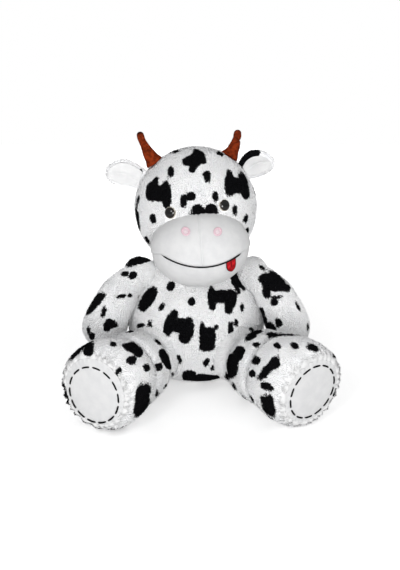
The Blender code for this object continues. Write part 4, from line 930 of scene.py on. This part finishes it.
def limb_relief(seed, crease=None):
    """Stuffing's unevenness, and for a leg the gathers beside its sole and the fold's valley at its ankle."""

    def made(point, u, v):
        height = 0.0008 * ripple(point, 0.09, seed) + 0.0004 * ripple(point, 0.03, seed + 1)
        if crease is not None:
            centre, along, rim, outward = crease
            depth = (rim - point) @ outward
            fold = np.cos(2 * math.pi * GATHERS * v + 2.5 * np.sin(2 * math.pi * 5 * v))
            height = height + GATHER_HEIGHT * fold * np.exp(-(((depth - 0.005) / 0.010) ** 2))
            height = height - ANKLE_DEPTH * np.exp(-((((point - centre) @ along) / ANKLE_WIDTH) ** 2))
        return height

    return made


def behind_rim(side, point):
    """How far a point lies behind the plane of the foot's rim."""
    _, _, finish, end = legs[side]
    return (end - point) @ finish


def rim_shade_share(side, point):
    """1 at the sole's seam, where the cloth takes painted shade, falling to 0 over 5 mm."""
    return 1 - np.clip((behind_rim(side, point) - 0.001) / 0.005, 0, 1)


for side in SIDES:
    form, _ = arms[side]
    name = f"arm_{side}"
    cloth = cloth_form(form, limb_relief(40 + len(side)))
    spots = cover(f"{name}_coat", cloth, 90, 96, LIMB_SPOTS[name], 23 + len(side), name,
                  (f"{name}_cover", f"{name}_filling"))
    pile(f"{name}_pile", cloth, spots, 33 + len(side), name,
         bare=lambda point, u, v: u < BARE_ROOT)

# Each leg's coat and pile are darkened beside the sole with painted shade.
for side in SIDES:
    form, root, finish, end = legs[side]
    name = f"leg_{side}"
    start = unit(end - root)
    crease = (root + (end - root) * ANKLE_SHARE, start, end, finish)
    cloth = cloth_form(form, limb_relief(50 + len(side), crease))
    spots = cover(f"{name}_coat", cloth, 110, 140, LIMB_SPOTS[name], 25 + len(side), name,
                  (f"{name}_cover", f"{name}_filling"), rim_shade=lambda point: rim_shade_share(side, point))
    pile(f"{name}_pile", cloth, spots, 35 + len(side), name, rim_shade=lambda point: rim_shade_share(side, point),
         bare=lambda point, u, v: (
             (u < BARE_ROOT) | (point[..., 2] < 0.002)
             | (behind_rim(side, point) < 0.0030 + 0.0015 * ripple(point, 0.012, 77))))

# %% [markdown]
# ## The snout and the chin
# The snout is one stuffed half egg of smooth pile, sewn from a panel above the mouth and a chin panel below
# it. Both are strips of the same ellipsoid: one number runs from side to side, the other turns about
# that line, from the mouth's curve to where the cloth is sewn into the head. Each strip has a wall, so its cross
# section is a closed loop; near an edge the loop sinks, as cloth does where it is turned in at a seam.

# %% Snout form
SNOUT_WALL = 0.0025
CHIN_INSET = 0.0022
MOUTH_HALF_WIDTH = 0.063


def mouth_height(x):
    """The mouth's height above the snout's centre: a parabola, tilted against the head's own tilt."""
    share = x / MOUTH_HALF_WIDTH
    return -0.0115 + 0.015 * share**2 - 0.0042 * share


def snout_egg(side, turn, shrink):
    """Ellipsoid point: the sine of the side angle goes sideways, its cosine swings about that axis by turn."""
    half = [SNOUT_HALF[k] - shrink for k in range(3)]
    local = [half[0] * np.sin(side), -half[1] * np.cos(side) * np.cos(turn), half[2] * np.cos(side) * np.sin(turn)]
    return np.stack(np.broadcast_arrays(*local), axis=-1) + SNOUT_CENTRE


def snout_front(x, z, proud):
    """The snout's front at x and z from its centre, in the head's frame, raised along the normal."""
    share = np.sqrt(np.maximum(1 - (x / SNOUT_HALF[0]) ** 2 - (z / SNOUT_HALF[2]) ** 2, 0.0))
    point = np.stack(np.broadcast_arrays(x, -SNOUT_HALF[1] * share, z), axis=-1)
    return point + SNOUT_CENTRE + unit(point / SNOUT_HALF**2) * np.asarray(proud)[..., None]


def sewn_turn(side, sign):
    """The turn at which the snout meets the head's wall, above (1) or below (-1) the front."""
    turns = np.linspace(math.pi / 4, math.pi, 600)
    points = snout_egg(side[:, None], sign * turns[None, :], 0.0)
    inside = np.linalg.norm(points, axis=-1) < HEAD_RADIUS - 0.004
    return sign * np.where(inside.any(axis=1), turns[inside.argmax(axis=1)], math.pi)


def snout_panel(name, above, inset, seam_depth, node):
    """A strip from the mouth to the sewn edge: outer points one way, inner points back."""
    rows, steps = 201, 64
    share = np.linspace(1, -1, rows)
    side = (math.pi / 2 - 0.005) * (0.72 * share + 0.28 * share**3)
    corner = math.asin(MOUTH_HALF_WIDTH / SNOUT_HALF[0])
    along_mouth = np.clip(side, -corner, corner)
    mouth = np.arcsin(mouth_height(SNOUT_HALF[0] * np.sin(along_mouth)) / (SNOUT_HALF[2] * np.cos(along_mouth)))
    low, high = (mouth, sewn_turn(side, 1)) if above else (sewn_turn(side, -1), mouth)
    across = (1 - np.cos(np.linspace(0, math.pi, steps))) / 2
    turn = low[:, None] + (high - low)[:, None] * across
    girth = 0.066 * np.cos(side)[:, None]
    to_mouth = np.abs(turn - mouth[:, None]) * girth
    to_seam = np.abs(turn - (high if above else low)[:, None]) * girth
    rolled = 1 - np.clip(to_mouth / 0.0045, 0, 1)
    shrink = inset + 0.0016 * (1 - np.sqrt(1 - rolled**2))
    x = SNOUT_HALF[0] * np.sin(side)[:, None]
    shrink = shrink + seam_depth * np.exp(-((x / 0.0015) ** 2)) * (turn < math.pi / 2)
    gathers = np.sin(x * 700 + 2 * np.sin(x * 130)) * np.exp(-((to_seam / 0.016) ** 2))
    points = snout_egg(side[:, None], turn, 0.0)
    shrink = shrink + 0.00035 * gathers + 0.0005 * (1 - ripple(points, 0.05, 12)) * (0.5 - 0.5 * rolled)
    outer = snout_egg(side[:, None], turn, shrink)
    inner = snout_egg(side[:, None], turn, shrink + SNOUT_WALL)
    loop = on_head(np.concatenate([outer, inner[:, ::-1]], axis=1))
    make_piece(name, with_poles(loop), grid_faces(rows, 2 * steps), snout_cloth, "head", (node,))


# %% Snout finish and panels
def smooth_pile_material(name, light, shaded):
    """A short, even nap: two tones in wide soft clouds under a fine grain."""
    made, tree, shader = new_material(
        name, light, 0.9, Sheen_Weight=0.15, Sheen_Roughness=0.5, Specular_IOR_Level=0.2
    )
    mottle = remap(tree, noise_on_object(tree, 60.0, 4.0), 0.3, 0.7, smooth=True)
    paint(tree, shader, mix_colours(tree, mottle, light, shaded))
    nap = combine(tree, "ADD", noise_on_object(tree, 900.0, 2.0), noise_on_object(tree, 160.0, 3.0))
    bump_from(tree, shader, nap, 0.0006, 0.45)
    return made


snout_cloth = smooth_pile_material("smooth_pile", (0.66, 0.66, 0.662), (0.61, 0.612, 0.618))
lining_cloth = smooth_pile_material("lining_pile", (0.76, 0.76, 0.76), (0.71, 0.71, 0.715))

snout_panel("snout_panels", True, 0.0, 0.0016, "snout_cover")
snout_panel("chin_panel", False, CHIN_INSET, 0.0, "chin_cover")

# %% [markdown]
# ## Thread, nostrils and tongue
# The mouth is one black twisted cord in the step between the panels. A cord is a circle carried along a
# path; its radius follows a twist, so that light breaks on the strands. The nostrils are rings of
# pink satin stitch round a paler middle, and the tongue is a felt tab with an embroidered outline.


# %% Cord helper
def carried_circle(centres, radii, sides, reference):
    """Rings square to a path: a circle of the radii given, one row for each point of the path."""
    along = unit(np.gradient(centres, axis=0))
    across = unit(np.cross(reference, along))
    upward = np.cross(along, across)
    ring = on_ring(full_turn(sides)[None], across[:, None], upward[:, None])
    return centres[:, None] + radii[..., None] * ring


def thread_material(name, colour, strands):
    """Matt thread, flecked and ridged at the pitch of its strands."""
    made, tree, shader = new_material(name, colour, 0.7, Specular_IOR_Level=0.15)
    fleck = remap(tree, noise_on_object(tree, strands, 2.0), 0.3, 0.7)
    darker = tuple(part * 0.6 for part in colour)
    paint(tree, shader, mix_colours(tree, fleck, colour, darker))
    bump_from(tree, shader, noise_on_object(tree, strands * 1.5, 2.0), 0.0003, 0.5)
    return made


black_thread = thread_material("black_thread", (0.004, 0.004, 0.005), 1500.0)
pink_thread = thread_material("pink_thread", (0.88, 0.64, 0.71), 1800.0)
pale_thread = thread_material("pale_pink_thread", (0.90, 0.76, 0.80), 1800.0)

# %% Mouth cord
MOUTH_CORD_RADIUS = 0.0011
CORD_STEPS, CORD_SIDES = 400, 14
CORD_DROP = MOUTH_CORD_RADIUS + 0.0006
x = np.linspace(-MOUTH_HALF_WIDTH, MOUTH_HALF_WIDTH, CORD_STEPS)
centres = snout_front(x, mouth_height(x) - CORD_DROP, np.full(CORD_STEPS, CORD_DROP - CHIN_INSET))
turn = full_turn(CORD_SIDES)
taper = np.clip((MOUTH_HALF_WIDTH - np.abs(x)) / 0.004, 0.35, 1.0)
twist = 1 + 0.1 * np.cos(2 * (turn[None] - x[:, None] * 2400))
points = carried_circle(centres, MOUTH_CORD_RADIUS * taper[:, None] * twist, CORD_SIDES, BACKWARDS)
points = on_head(np.concatenate([points.reshape(-1, 3), centres[:1], centres[-1:]]))
make_piece("mouth_thread", points, grid_faces(CORD_STEPS, CORD_SIDES), black_thread, "head", ("mouth_cord",))


# %% Nostrils
def ring_faces(rows, sides):
    """Quads of a grid that closes both ways."""
    i, j = np.meshgrid(np.arange(rows), np.arange(sides), indexing="ij")
    n, k = (i + 1) % rows, (j + 1) % sides
    return [np.stack([i * sides + j, i * sides + k, n * sides + k, n * sides + j], axis=-1).reshape(-1, 4)]


def nostril(side, sign):
    """Satin stitch: a tube round a circle on the snout, ridged across as its threads lie, and a low stuffed middle."""
    rows, sides, radius, tube = 224, 16, 0.0045, 0.0012
    middle, height = sign * 0.0245 + 0.0028, 0.0395 - sign * 0.0022
    around, section = full_turn(rows), -full_turn(sides)
    ridge = tube * (1 + 0.09 * np.cos(28 * around))[:, None]
    out = radius + ridge * np.cos(section)[None]
    lift = tube + 0.0002 + ridge * np.sin(section)[None]
    x, z = middle + 1.2 * out * np.cos(around)[:, None], height + out * np.sin(around)[:, None]
    points = on_head(snout_front(x, z, lift))
    make_piece(f"nostril_{side}_ring", points, ring_faces(rows, sides), pink_thread, "head",
               (f"nostril_{side}",))
    sides = 48
    share = np.concatenate([np.arange(1, 15), np.arange(14, 0, -1)])[:, None] / 14
    top = (np.arange(28) < 14)[:, None]
    around = -full_turn(sides)[None]
    x = middle + 0.0047 * share * np.cos(around)
    z = height + 0.0039 * share * np.sin(around)
    lift = np.where(top, 0.0009 + 0.0007 * (1 - share**2) + 0.00008 * np.cos(x * 7000), 0.0003)
    points = with_poles(on_head(snout_front(x, z, lift)))
    make_piece(f"nostril_{side}_middle", points, grid_faces(28, sides), pale_thread, "head")


for side, sign in SIDES.items():
    nostril(side, sign)

# %% [markdown]
# ## Tongue
# Felt is cut flat, so the tongue is a thin slab that bends over the chin. Each of its cross sections is a
# flattened oval; an attribute that says how near the edge a point lies draws the stitched outline.


# %% Felt
def felt_material(name, light, dark, threads=1100.0):
    """Pressed wool: two tones in soft clouds, darkened by the attribute "shade", under a fine fuzz."""
    made, tree, shader = new_material(name, light, 0.95, Specular_IOR_Level=0.05)
    cloud = remap(tree, noise_on_object(tree, 150.0, 5.0), 0.35, 0.68, smooth=True)
    share = combine(tree, "MAXIMUM", combine(tree, "MULTIPLY", cloud, 0.7), attribute(tree, "shade"))
    paint(tree, shader, mix_colours(tree, share, light, dark))
    bump_from(tree, shader, noise_on_object(tree, threads, 3.0), 0.0007, 0.7)
    return made


red_felt = felt_material("red_felt", (0.62, 0.018, 0.024), (0.02, 0.001, 0.002))

# %% Tongue
TONGUE_SIDE, TONGUE_HALF, TONGUE_LENGTH = 0.0452, 0.0082, 0.0200
rows, sides = 70, 64
down = (1 - np.cos(np.linspace(0.0, math.pi, rows + 2)[1:-1])) / 2
turn = full_turn(sides)
round_part = TONGUE_HALF * 1.5
past = np.clip((down * TONGUE_LENGTH - (TONGUE_LENGTH - round_part)) / round_part, 0, 1)
half = TONGUE_HALF * np.sqrt(1 - past**2)
across = np.sign(np.cos(turn)) * np.abs(np.cos(turn)) ** 0.6
thick = np.sign(np.sin(turn)) * np.abs(np.sin(turn)) ** 0.6
x = TONGUE_SIDE + half[:, None] * across[None]
lip = mouth_height(x) * (1 - down)[:, None] + mouth_height(TONGUE_SIDE) * down[:, None]
z = lip - 0.0030 - (down * TONGUE_LENGTH)[:, None]
middle_line = np.exp(-(((x - TONGUE_SIDE) / 0.0011) ** 2)) * (down < 0.55)[:, None]
level = 0.0013 + 0.00075 * thick[None] - 0.0004 * middle_line * (thick > 0)[None]
points = with_poles(on_head(snout_front(x, z, level - CHIN_INSET)))
edge = np.minimum(half[:, None] * (1 - np.abs(across)[None]), ((1 - down) * TONGUE_LENGTH)[:, None])
shade = np.maximum(np.clip(1.3 - edge / 0.0019, 0, 1), 0.9 * middle_line).ravel()
make_piece("tongue_felt", points, grid_faces(rows, sides), red_felt, "head", ("tongue",),
           values={"shade": np.append(shade, (1.0, 1.0))})

# %% [markdown]
# ## Safety eyes
# A safety eye is one turned part: a dome over a flat flange, on a ribbed shank that passes through the cloth and
# is held behind it by a toothed washer. A profile of heights and radii swept round an axis gives it. Its
# colours are printed behind a clear dome, so they are rings of the distance from the axis.


# %% Turned parts
def turned(place, outward, heights, radii, sides):
    """Rings about an axis from the first height to the last, and a pole at each end."""
    across = unit(np.cross((0.0, 0.0, 1.0), outward))
    upward = np.cross(outward, across)
    ring = on_ring(full_turn(sides), across, upward)
    points = place + heights[:, None, None] * outward + radii[:, None, None] * ring[None]
    poles = np.stack([place + heights[0] * outward, place + heights[-1] * outward])
    return np.concatenate([points.reshape(-1, 3), poles])


eye_finish, tree, shader = new_material(
    "eye_dome", (0.01, 0.008, 0.006), 0.5, Coat_Weight=0.9, Coat_Roughness=0.02, Specular_IOR_Level=0.0
)
ring = attribute(tree, "ring")
amber = mix_colours(tree, remap(tree, ring, 0.56, 0.84), (0.003, 0.002, 0.001), (0.010, 0.005, 0.003))
colour = mix_colours(tree, remap(tree, ring, 0.55, 0.60), (0.002, 0.002, 0.002), amber)
colour = mix_colours(tree, remap(tree, ring, 0.88, 0.91), colour, (0.50, 0.47, 0.40))
colour = mix_colours(tree, remap(tree, ring, 0.985, 1.0), colour, (0.02, 0.018, 0.016))
paint(tree, shader, colour)

# %% Eyes
EYE_RADIUS, EYE_HEIGHT, FLANGE = 0.0098, 0.0058, 0.0012
shank = np.linspace(-0.0149, 0.0001, 160)
ribs = 0.0020 + 0.0006 * (0.5 + 0.5 * np.cos(2 * math.pi * (shank + 0.0018) / 0.0020)) ** 4
ribs *= np.clip(0.6 + (shank + 0.015) / 0.001, 0.6, 1.0)
rim = np.radians(np.linspace(-80, 0, 8))
bowl = np.radians(np.linspace(2, 89, 44))
heights = np.concatenate([shank, 0.0006 + 0.0003 * np.sin(rim), FLANGE + EYE_HEIGHT * np.sin(bowl)])
radii = np.concatenate([ribs, EYE_RADIUS - 0.0003 + 0.0003 * np.cos(rim), EYE_RADIUS * np.cos(bowl)])
rings = np.where(heights > FLANGE, radii / EYE_RADIUS, 1.1)
for side in SIDES:
    outward = HEAD_TURN @ EYE_WAYS[side]
    points = turned(eye_seats[side] - outward * 0.0022, outward, heights, radii, 64)
    make_piece(f"safety_eye_{side}", points, grid_faces(len(heights), 64), eye_finish, "head", (f"eye_{side}",),
               values={"ring": np.append(np.repeat(rings, 64), (1.1, 0.0))})

nylon, tree, shader = new_material("white_nylon", (0.78, 0.78, 0.75), 0.42)
grain = remap(tree, noise_on_object(tree, 300.0, 2.0), 0.3, 0.7, 0.38, 0.5)
tree.links.new(grain, shader.inputs["Roughness"])
for side in SIDES:
    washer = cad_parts[f"eye_washer_{side}"]
    washer.data.materials.clear()
    washer.data.materials.append(nylon)

# %% [markdown]
# ## Horns
# Each horn is a felt cone turned out and stuffed. Its spine is a quadratic Bezier curve that leaves the head
# square to it and hooks upwards. The radius has three parts: a base that spreads where it is sewn on, a
# narrow middle, and a small knob where the felt gathers at the tip.


# %% Horns
HORN_LENGTH, HORN_BASE = 0.052, 0.0145
HORN_LEAN = math.radians(68.0)
HORN_BACK = {"right": 5.0, "left": 46.0}
HORN_FOLD = {"right": 4.4, "left": 2.6}


def horn_form(side):
    """A tapering limb on a curved spine, with a spread base, a knob and a domed tip."""
    sign, outward = SIDES[side], HORN_WAYS[side]
    base = outward * HEAD_RADIUS
    lean, back = HORN_LEAN, math.radians(HORN_BACK[side])
    heading = np.array((sign * math.cos(lean), math.sin(lean) * math.sin(back), math.sin(lean) * math.cos(back)))
    tip = base + HORN_LENGTH * heading
    controls = (base - outward * HORN_BASE, base + outward * HORN_LENGTH * 0.4, tip)
    slopes = [(second - first) * 2 for first, second in zip(controls, controls[1:])]
    share = np.linspace(0.22, 1, 200)
    centres, alongs = blend(controls, share), unit(blend(slopes, share))
    steps = np.linalg.norm(np.diff(centres, axis=0), axis=1)
    distances = np.concatenate([[0], np.cumsum(steps)])
    radii = blend((HORN_BASE * 1.12, HORN_BASE * 0.62, 0.0050), share)
    radii = radii + 0.0022 * np.exp(-(((share - 0.25) / 0.09) ** 2)) + 0.0011 * np.exp(-(((share - 0.97) / 0.09) ** 2))
    dome = np.radians(np.linspace(4, 90, 30))
    ends = distances[-1] + radii[-1] * np.sin(dome)
    distances_all = np.append(distances, ends[-1])
    centres = on_head(np.concatenate([centres, centres[-1:] + alongs[-1:] * radii[-1]]))
    alongs = np.concatenate([alongs, alongs[-1:]]) @ HEAD_TURN.T
    across = np.broadcast_to(HEAD_TURN @ np.array((0.0, 1.0, 0.0)), centres.shape)
    across = unit(across - alongs * dot(across, alongs)[:, None])
    profile = (np.concatenate([distances, ends]), np.concatenate([radii, radii[-1] * np.cos(dome)]))
    return limb_form(profile, (distances_all, centres, across, np.cross(alongs, across)))


def horn_valley(u, v, side, width):
    """The felt's fold, 0 to 1: a valley that climbs round the horn and is deepest on one flank."""
    turn = 2 * math.pi * v + HORN_FOLD[side]
    return np.exp(-(((u - 0.48 - 0.15 * np.sin(turn)) / width) ** 2)) * (0.55 + 0.45 * np.cos(turn))


def horn_relief(side):
    """Soft dents beside the fold."""
    return lambda point, u, v: (
        0.0005 * ripple(point, 0.03, 61) + 0.0003 * ripple(point, 0.012, 62) - 0.0017 * horn_valley(u, v, side, 0.028)
    )


rust_felt = felt_material("rust_felt", (0.24, 0.032, 0.007), (0.016, 0.002, 0.001), 900.0)
for side in SIDES:
    points, faces = sample_grid(cloth_form(horn_form(side), horn_relief(side)), 110, 72)
    u, v = grid_uv(110, 72)
    shade = np.clip((u - 0.80) / 0.12, 0, 0.95) + 0.6 * horn_valley(u, v, side, 0.03)
    make_piece(f"felt_horn_{side}", points, faces, rust_felt, "head", (f"horn_{side}",),
               {"shade": np.append(shade, (0.0, 0.9))})

# %% [markdown]
# ## Ears
# An ear is a cupped leaf of plush, rounded at its root so that it can flap, with a smooth white lining on
# its face. Both are one function: a leaf between two levels of its thickness. Its width swells, then closes as
# the root of one minus the fourth power; the cup lifts both long edges towards the face.

# %% Ears
EAR_LENGTH, EAR_HALF_WIDTH, EAR_BASE, EAR_HALF_THICK = 0.062, 0.021, 0.017, 0.00275
EAR_BORDER = 0.0045
ROOT_SHARE = 0.07
LINING_GAP = 0.0003
LINING_ASIDE = {"right": 0.0, "left": 0.0022}
EAR_LIFT = {"right": 18.0, "left": 27.0}
EAR_TURN = {"right": 4.0, "left": 38.0}
EAR_SPOTS = {
    "right": ((124.5, 182.0, 2.6, 1.6, 10), (141.0, 171.0, 1.4, 1.6, 0)),
    "left": ((248.2, 159.2, 12.5, 6.4, 52, 3.0), (243.6, 164.4, 5.6, 6.4, 20), (253.6, 152.2, 4.0, 3.6, 0)),
}


def ear_axes(side):
    """The ear's root, its length's axis, its hinge's axis and the way its face looks, in the head's frame."""
    sign, outward = SIDES[side], EAR_WAYS[side]
    lift, turn = math.radians(EAR_LIFT[side]), math.radians(EAR_TURN[side])
    along = np.array((sign * math.cos(lift) * math.cos(turn), -math.sin(turn), math.sin(lift) * math.cos(turn)))
    hinge = unit(np.cross(outward, (0.0, 1.0, 0.0)))
    face = unit(np.cross(along, hinge))
    base = outward * (HEAD_RADIUS + EAR_HALF_THICK + 0.0003 - 0.0015)
    return base, along, hinge, face


def leaf_width(share, half_width, root_width):
    """Half the ear's width from root to tip: a Bezier swell, closed by the root of one minus the fourth power."""
    width = blend((root_width, half_width * 1.15, half_width * 1.25, half_width), share)
    return width * np.sqrt(np.maximum(1 - share**4, 0.0))


def ear_form(side, sizes, levels, start, rooted, puff=0.0, aside=0.0):
    """A leaf as a function of u from root to tip and v round its edge, with a rounded root edge if rooted."""
    base, along, hinge, face = ear_axes(side)
    length, half_width, root_width = sizes
    upward = unit(np.cross(face, along))
    rise = math.copysign(1.0, upward[2])
    hinge_way = hinge * math.copysign(1.0, float(dot(hinge, upward)))
    middle, full = (levels[0] + levels[1]) / 2, (levels[1] - levels[0]) / 2

    def made(u, v):
        outer = np.clip((u - ROOT_SHARE) / (1 - ROOT_SHARE), 0.0, 1.0)
        share = np.sin(math.pi / 2 * outer)
        into_root = np.clip(1 - u / ROOT_SHARE, 0.0, 1.0)
        closing = np.sqrt(np.maximum(1 - into_root**2, 0.0))
        width = leaf_width(share, half_width, root_width) * (1.0 if rooted else 0.3 + 0.7 * closing)
        half = full * np.minimum(1.0, (1 - share) * 4 + 0.25) * closing
        bend = -0.0024 * np.sin(math.pi * share)
        cup = 0.004 * np.sin(math.pi * np.minimum(share * 1.2, 1.0))
        bow = 0.004 * np.sin(math.pi * share) * rise
        twist = np.maximum(1 - share / 0.33, 0.0)[..., None]
        side_axis = unit(upward * (1 - twist) + hinge_way * twist)
        turn = 2 * math.pi * v
        sideways = np.cos(turn)
        rolled = 0.0022 * np.exp(-(((np.abs(sideways) - 0.86) / 0.10) ** 2)) * (np.sin(turn) > 0) * (puff == 0)
        fold = -0.0034 * np.exp(-(((sideways * width / half_width - 0.08) / 0.13) ** 2)) * np.sin(math.pi * share)
        level = middle + bend + half * np.sin(turn) + cup * sideways**2 + rolled + fold
        level = level + puff * np.maximum(np.sin(turn), 0.0) * np.sqrt(np.maximum(1 - share**4, 0.0))
        distance = start + (length - start) * share - into_root * (full if rooted else 0.0)
        point = base + along * distance[..., None] + side_axis * (width * sideways + bow - aside * rise)[..., None]
        return on_head(point + face * level[..., None])

    return made


def on_lining(side, points, room):
    """True on the ear's face, inside the lining's outline."""
    base, along, _, face = ear_axes(side)
    local = (points - HEAD_CENTRE) @ HEAD_TURN - base
    out, up, level = local @ along, local @ unit(np.cross(face, along)), local @ face
    share = np.clip(out / EAR_LENGTH, 0.0, 1.0)
    width = leaf_width(share, EAR_HALF_WIDTH, EAR_BASE) - EAR_BORDER - room
    bow = 0.004 * np.sin(math.pi * share)
    return (np.abs(up - bow) < width) & (level > 0.0) & (out < EAR_LENGTH - EAR_BORDER - room)


for side in SIDES:
    name = f"ear_{side}"
    sizes = (EAR_LENGTH, EAR_HALF_WIDTH, EAR_BASE)
    form = cloth_form(ear_form(side, sizes, (-EAR_HALF_THICK, EAR_HALF_THICK), 0.0, True), limb_relief(70 + len(side)))
    spots = cover(f"{name}_coat", form, 90, 96, EAR_SPOTS[side], 27 + len(side), name, (name,),
                  seeded=False)
    pile(f"{name}_pile", form, spots, 37 + len(side), name, length=0.0042, spacing=0.0022, width=0.0009,
         u_range=(0.06, 0.985), bare=lambda point, u, v: on_lining(side, point, -0.0006))
    aside = LINING_ASIDE[side]
    sizes = (EAR_LENGTH - EAR_BORDER, EAR_HALF_WIDTH - EAR_BORDER + 0.0004 - aside, EAR_BASE - EAR_BORDER - aside)
    low = EAR_HALF_THICK + LINING_GAP
    form = ear_form(side, sizes, (low - 0.0002, low + 0.0016), 0.0035, False, 0.0012, aside)
    form = cloth_form(form, lambda point, u, v: 0.0004 * ripple(point, 0.012, 75))
    points, faces = sample_grid(form, 80, 72)
    make_piece(f"{name}_inside", points, faces, lining_cloth, name, (f"ear_lining_{side}",))

# %% [markdown]
# ## Soles
# A foot is closed by a round panel of smooth cloth. It is sewn in round its rim, which draws the cloth into
# small puckers, and a dashed running stitch goes round just inside. Each dash is a short cord that dips into the
# cloth at both ends.


# %% Soles and stitches
SOLE_CROWN = 0.0020
SOLE_DEPTH, SOLE_EDGE, EDGE_MIDDLE = 0.0030, 0.0012, -0.0018
SOLE_SIDES = 260
STITCHES, STITCH_RING, STITCH_RADIUS = 14, 0.0445, 0.0014
STITCH_REACH, STITCH_STEPS, STITCH_SIDES = 0.168, 40, 10
FIRST_STITCH = {"right": 5.0, "left": 12.0}
RING_DROP = {"right": 0.0050, "left": 0.0005}


def sole_axes(side):
    """Centre, outward axis and two axes across the sole."""
    _, _, finish, end = legs[side]
    across = unit(np.cross(UPWARDS, finish))
    return end, finish, across, np.cross(finish, across)


def sole_level(radius, turn):
    """Height of the sole over its rim plane: a low crown, puckered near the rim."""
    share = radius / SOLE_RADIUS
    puckers = 0.00055 * np.sin(34 * turn + 2.0 * np.sin(3 * turn)) * np.exp(-(((1 - share) / 0.10) ** 2))
    return SOLE_CROWN * (1 - share**2) + 0.0016 * (1 - share**4) + puckers


for side in SIDES:
    centre, outward, across, upward = sole_axes(side)
    fit = SOLE_RADIUS - 0.0004
    rim = np.radians(np.linspace(-80, 88, 10))
    under, over = np.linspace(0.01, 1.0, 8) * (fit - SOLE_EDGE), (fit - 0.0014) * np.linspace(1, 0.004, 90)
    radii = np.concatenate([under, fit - SOLE_EDGE + SOLE_EDGE * np.cos(rim), over])
    turn, rise = full_turn(SOLE_SIDES)[None], np.sin(rim)[:, None]
    low = np.full((len(under), SOLE_SIDES), -SOLE_DEPTH)
    top = sole_level(over[:, None], turn)
    edge = EDGE_MIDDLE + (top[:1] - EDGE_MIDDLE) * (rise + 1) / 2
    edge = np.where(rise < 0, -SOLE_DEPTH + (rise + 1) * SOLE_EDGE, edge)
    heights = np.concatenate([low, edge, top])
    ring = on_ring(turn, across, upward)
    points = with_poles(centre + heights[..., None] * outward + radii[:, None, None] * ring)
    points[:, 2] = np.maximum(points[:, 2], FLOOR_LIFT)
    make_piece(f"foot_{side}_sole", points, grid_faces(len(radii), SOLE_SIDES), snout_cloth, f"leg_{side}",
               (f"sole_{side}",))
    blocks, faces = [], []
    for k in range(STITCHES):
        bearing = math.radians(FIRST_STITCH[side] + 360.0 * k / STITCHES)
        turn = bearing + np.linspace(-STITCH_REACH, STITCH_REACH, STITCH_STEPS)
        dip = 1 - np.linspace(-1, 1, STITCH_STEPS) ** 8
        height = sole_level(STITCH_RING, turn) - 0.0010 + 0.0015 * dip
        path = centre - RING_DROP[side] * upward + height[:, None] * outward
        path = path + STITCH_RING * on_ring(turn, across, upward)
        twist = 1 + 0.08 * np.cos(2 * (full_turn(STITCH_SIDES)[None] - np.arange(STITCH_STEPS)[:, None] * 0.8))
        swell = np.sqrt(np.clip(dip, 0.05, 1))
        tube = carried_circle(path, STITCH_RADIUS * swell[:, None] * twist, STITCH_SIDES, outward)
        first = sum(len(block) for block in blocks)
        blocks.append(np.concatenate([tube.reshape(-1, 3), path[:1], path[-1:]]))
        faces += grid_faces(STITCH_STEPS, STITCH_SIDES, first)
    make_piece(f"foot_{side}_stitches", np.concatenate(blocks), faces, black_thread, f"leg_{side}")

# %% [markdown]
# ## Tail
# The photograph shows the front only. A plush cow has a tail, so this one is a thin stuffed tube of the same
# plush that bends down to the floor, with a tuft of longer black pile.

# %% Tail
TAIL_HEIGHT, TAIL_ROOT, TAIL_REACH, TUFT_RADIUS, TUFT_LENGTH = 0.060, 0.0095, 0.058, 0.0130, 0.046
TAIL_WAIST = 42.0
_, half_depth, middle = torso_section(TAIL_HEIGHT)
tail_root = np.array((0.0, middle + half_depth + TAIL_ROOT - 0.0060, TAIL_HEIGHT))
tail_end = tail_root + BACKWARDS * TAIL_REACH
tail_end[2] = TUFT_RADIUS + 0.0008
length = float(np.linalg.norm(tail_end - tail_root))
waist = TAIL_ROOT * math.sin(math.radians(TAIL_WAIST))
straight = TAIL_ROOT * math.cos(math.radians(TAIL_WAIST))
spine = limb_spine(tail_root, BACKWARDS, straight, tail_end, BACKWARDS, length, SIDEWAYS)
tail_profile = limb_profile(TAIL_ROOT, TAIL_WAIST, ((length, waist),), (length + 0.004, 0.0))
tail_cloth = cloth_form(limb_form(tail_profile, spine), limb_relief(80))
tail_spots = cover("tail_coat", tail_cloth, 90, 48, (), 28, "tail", ("tail",))
pile("tail_pile", tail_cloth, tail_spots, 38, "tail", length=0.005, spacing=0.0022, u_range=(0.12, 0.93))

TUFT_SHARES = (0.0, 0.11, 0.22, 0.5, 0.78, 1.0)
TUFT_SWELLS = (0.0, 0.78, 0.93, 1.0, 0.62, 0.0)


def tuft_form(u, v):
    """A stuffed bud: its radius goes through the shares by a smooth curve, round at both ends."""
    share = (1 - np.cos(math.pi * u)) / 2
    radius = TUFT_RADIUS * np.maximum(np.interp(share, TUFT_SHARES, TUFT_SWELLS), 0.62 * np.sin(math.pi * u))
    centre = tail_end + BACKWARDS * (0.0003 + TUFT_LENGTH * share)[..., None]
    return centre + radius[..., None] * on_ring(2 * math.pi * v, SIDEWAYS, -UPWARDS)


black_row = [(tail_end + BACKWARDS * 0.025, SIDEWAYS, BACKWARDS, (0.09, 0.09), 2.0, 0.09)]
tuft_cloth = cloth_form(tuft_form)
points, faces = sample_grid(tuft_cloth, 60, 48)
make_piece("tail_tuft_coat", points, faces, plush, "tail", ("tail_tuft",),
           {"spot": np.full(len(points), 0.01)})
pile("tail_tuft_pile", tuft_cloth, black_row, 39, "tail", length=0.016, spacing=0.0022, width=0.0008, lean=80.0,
     u_range=(0.03, 0.9))
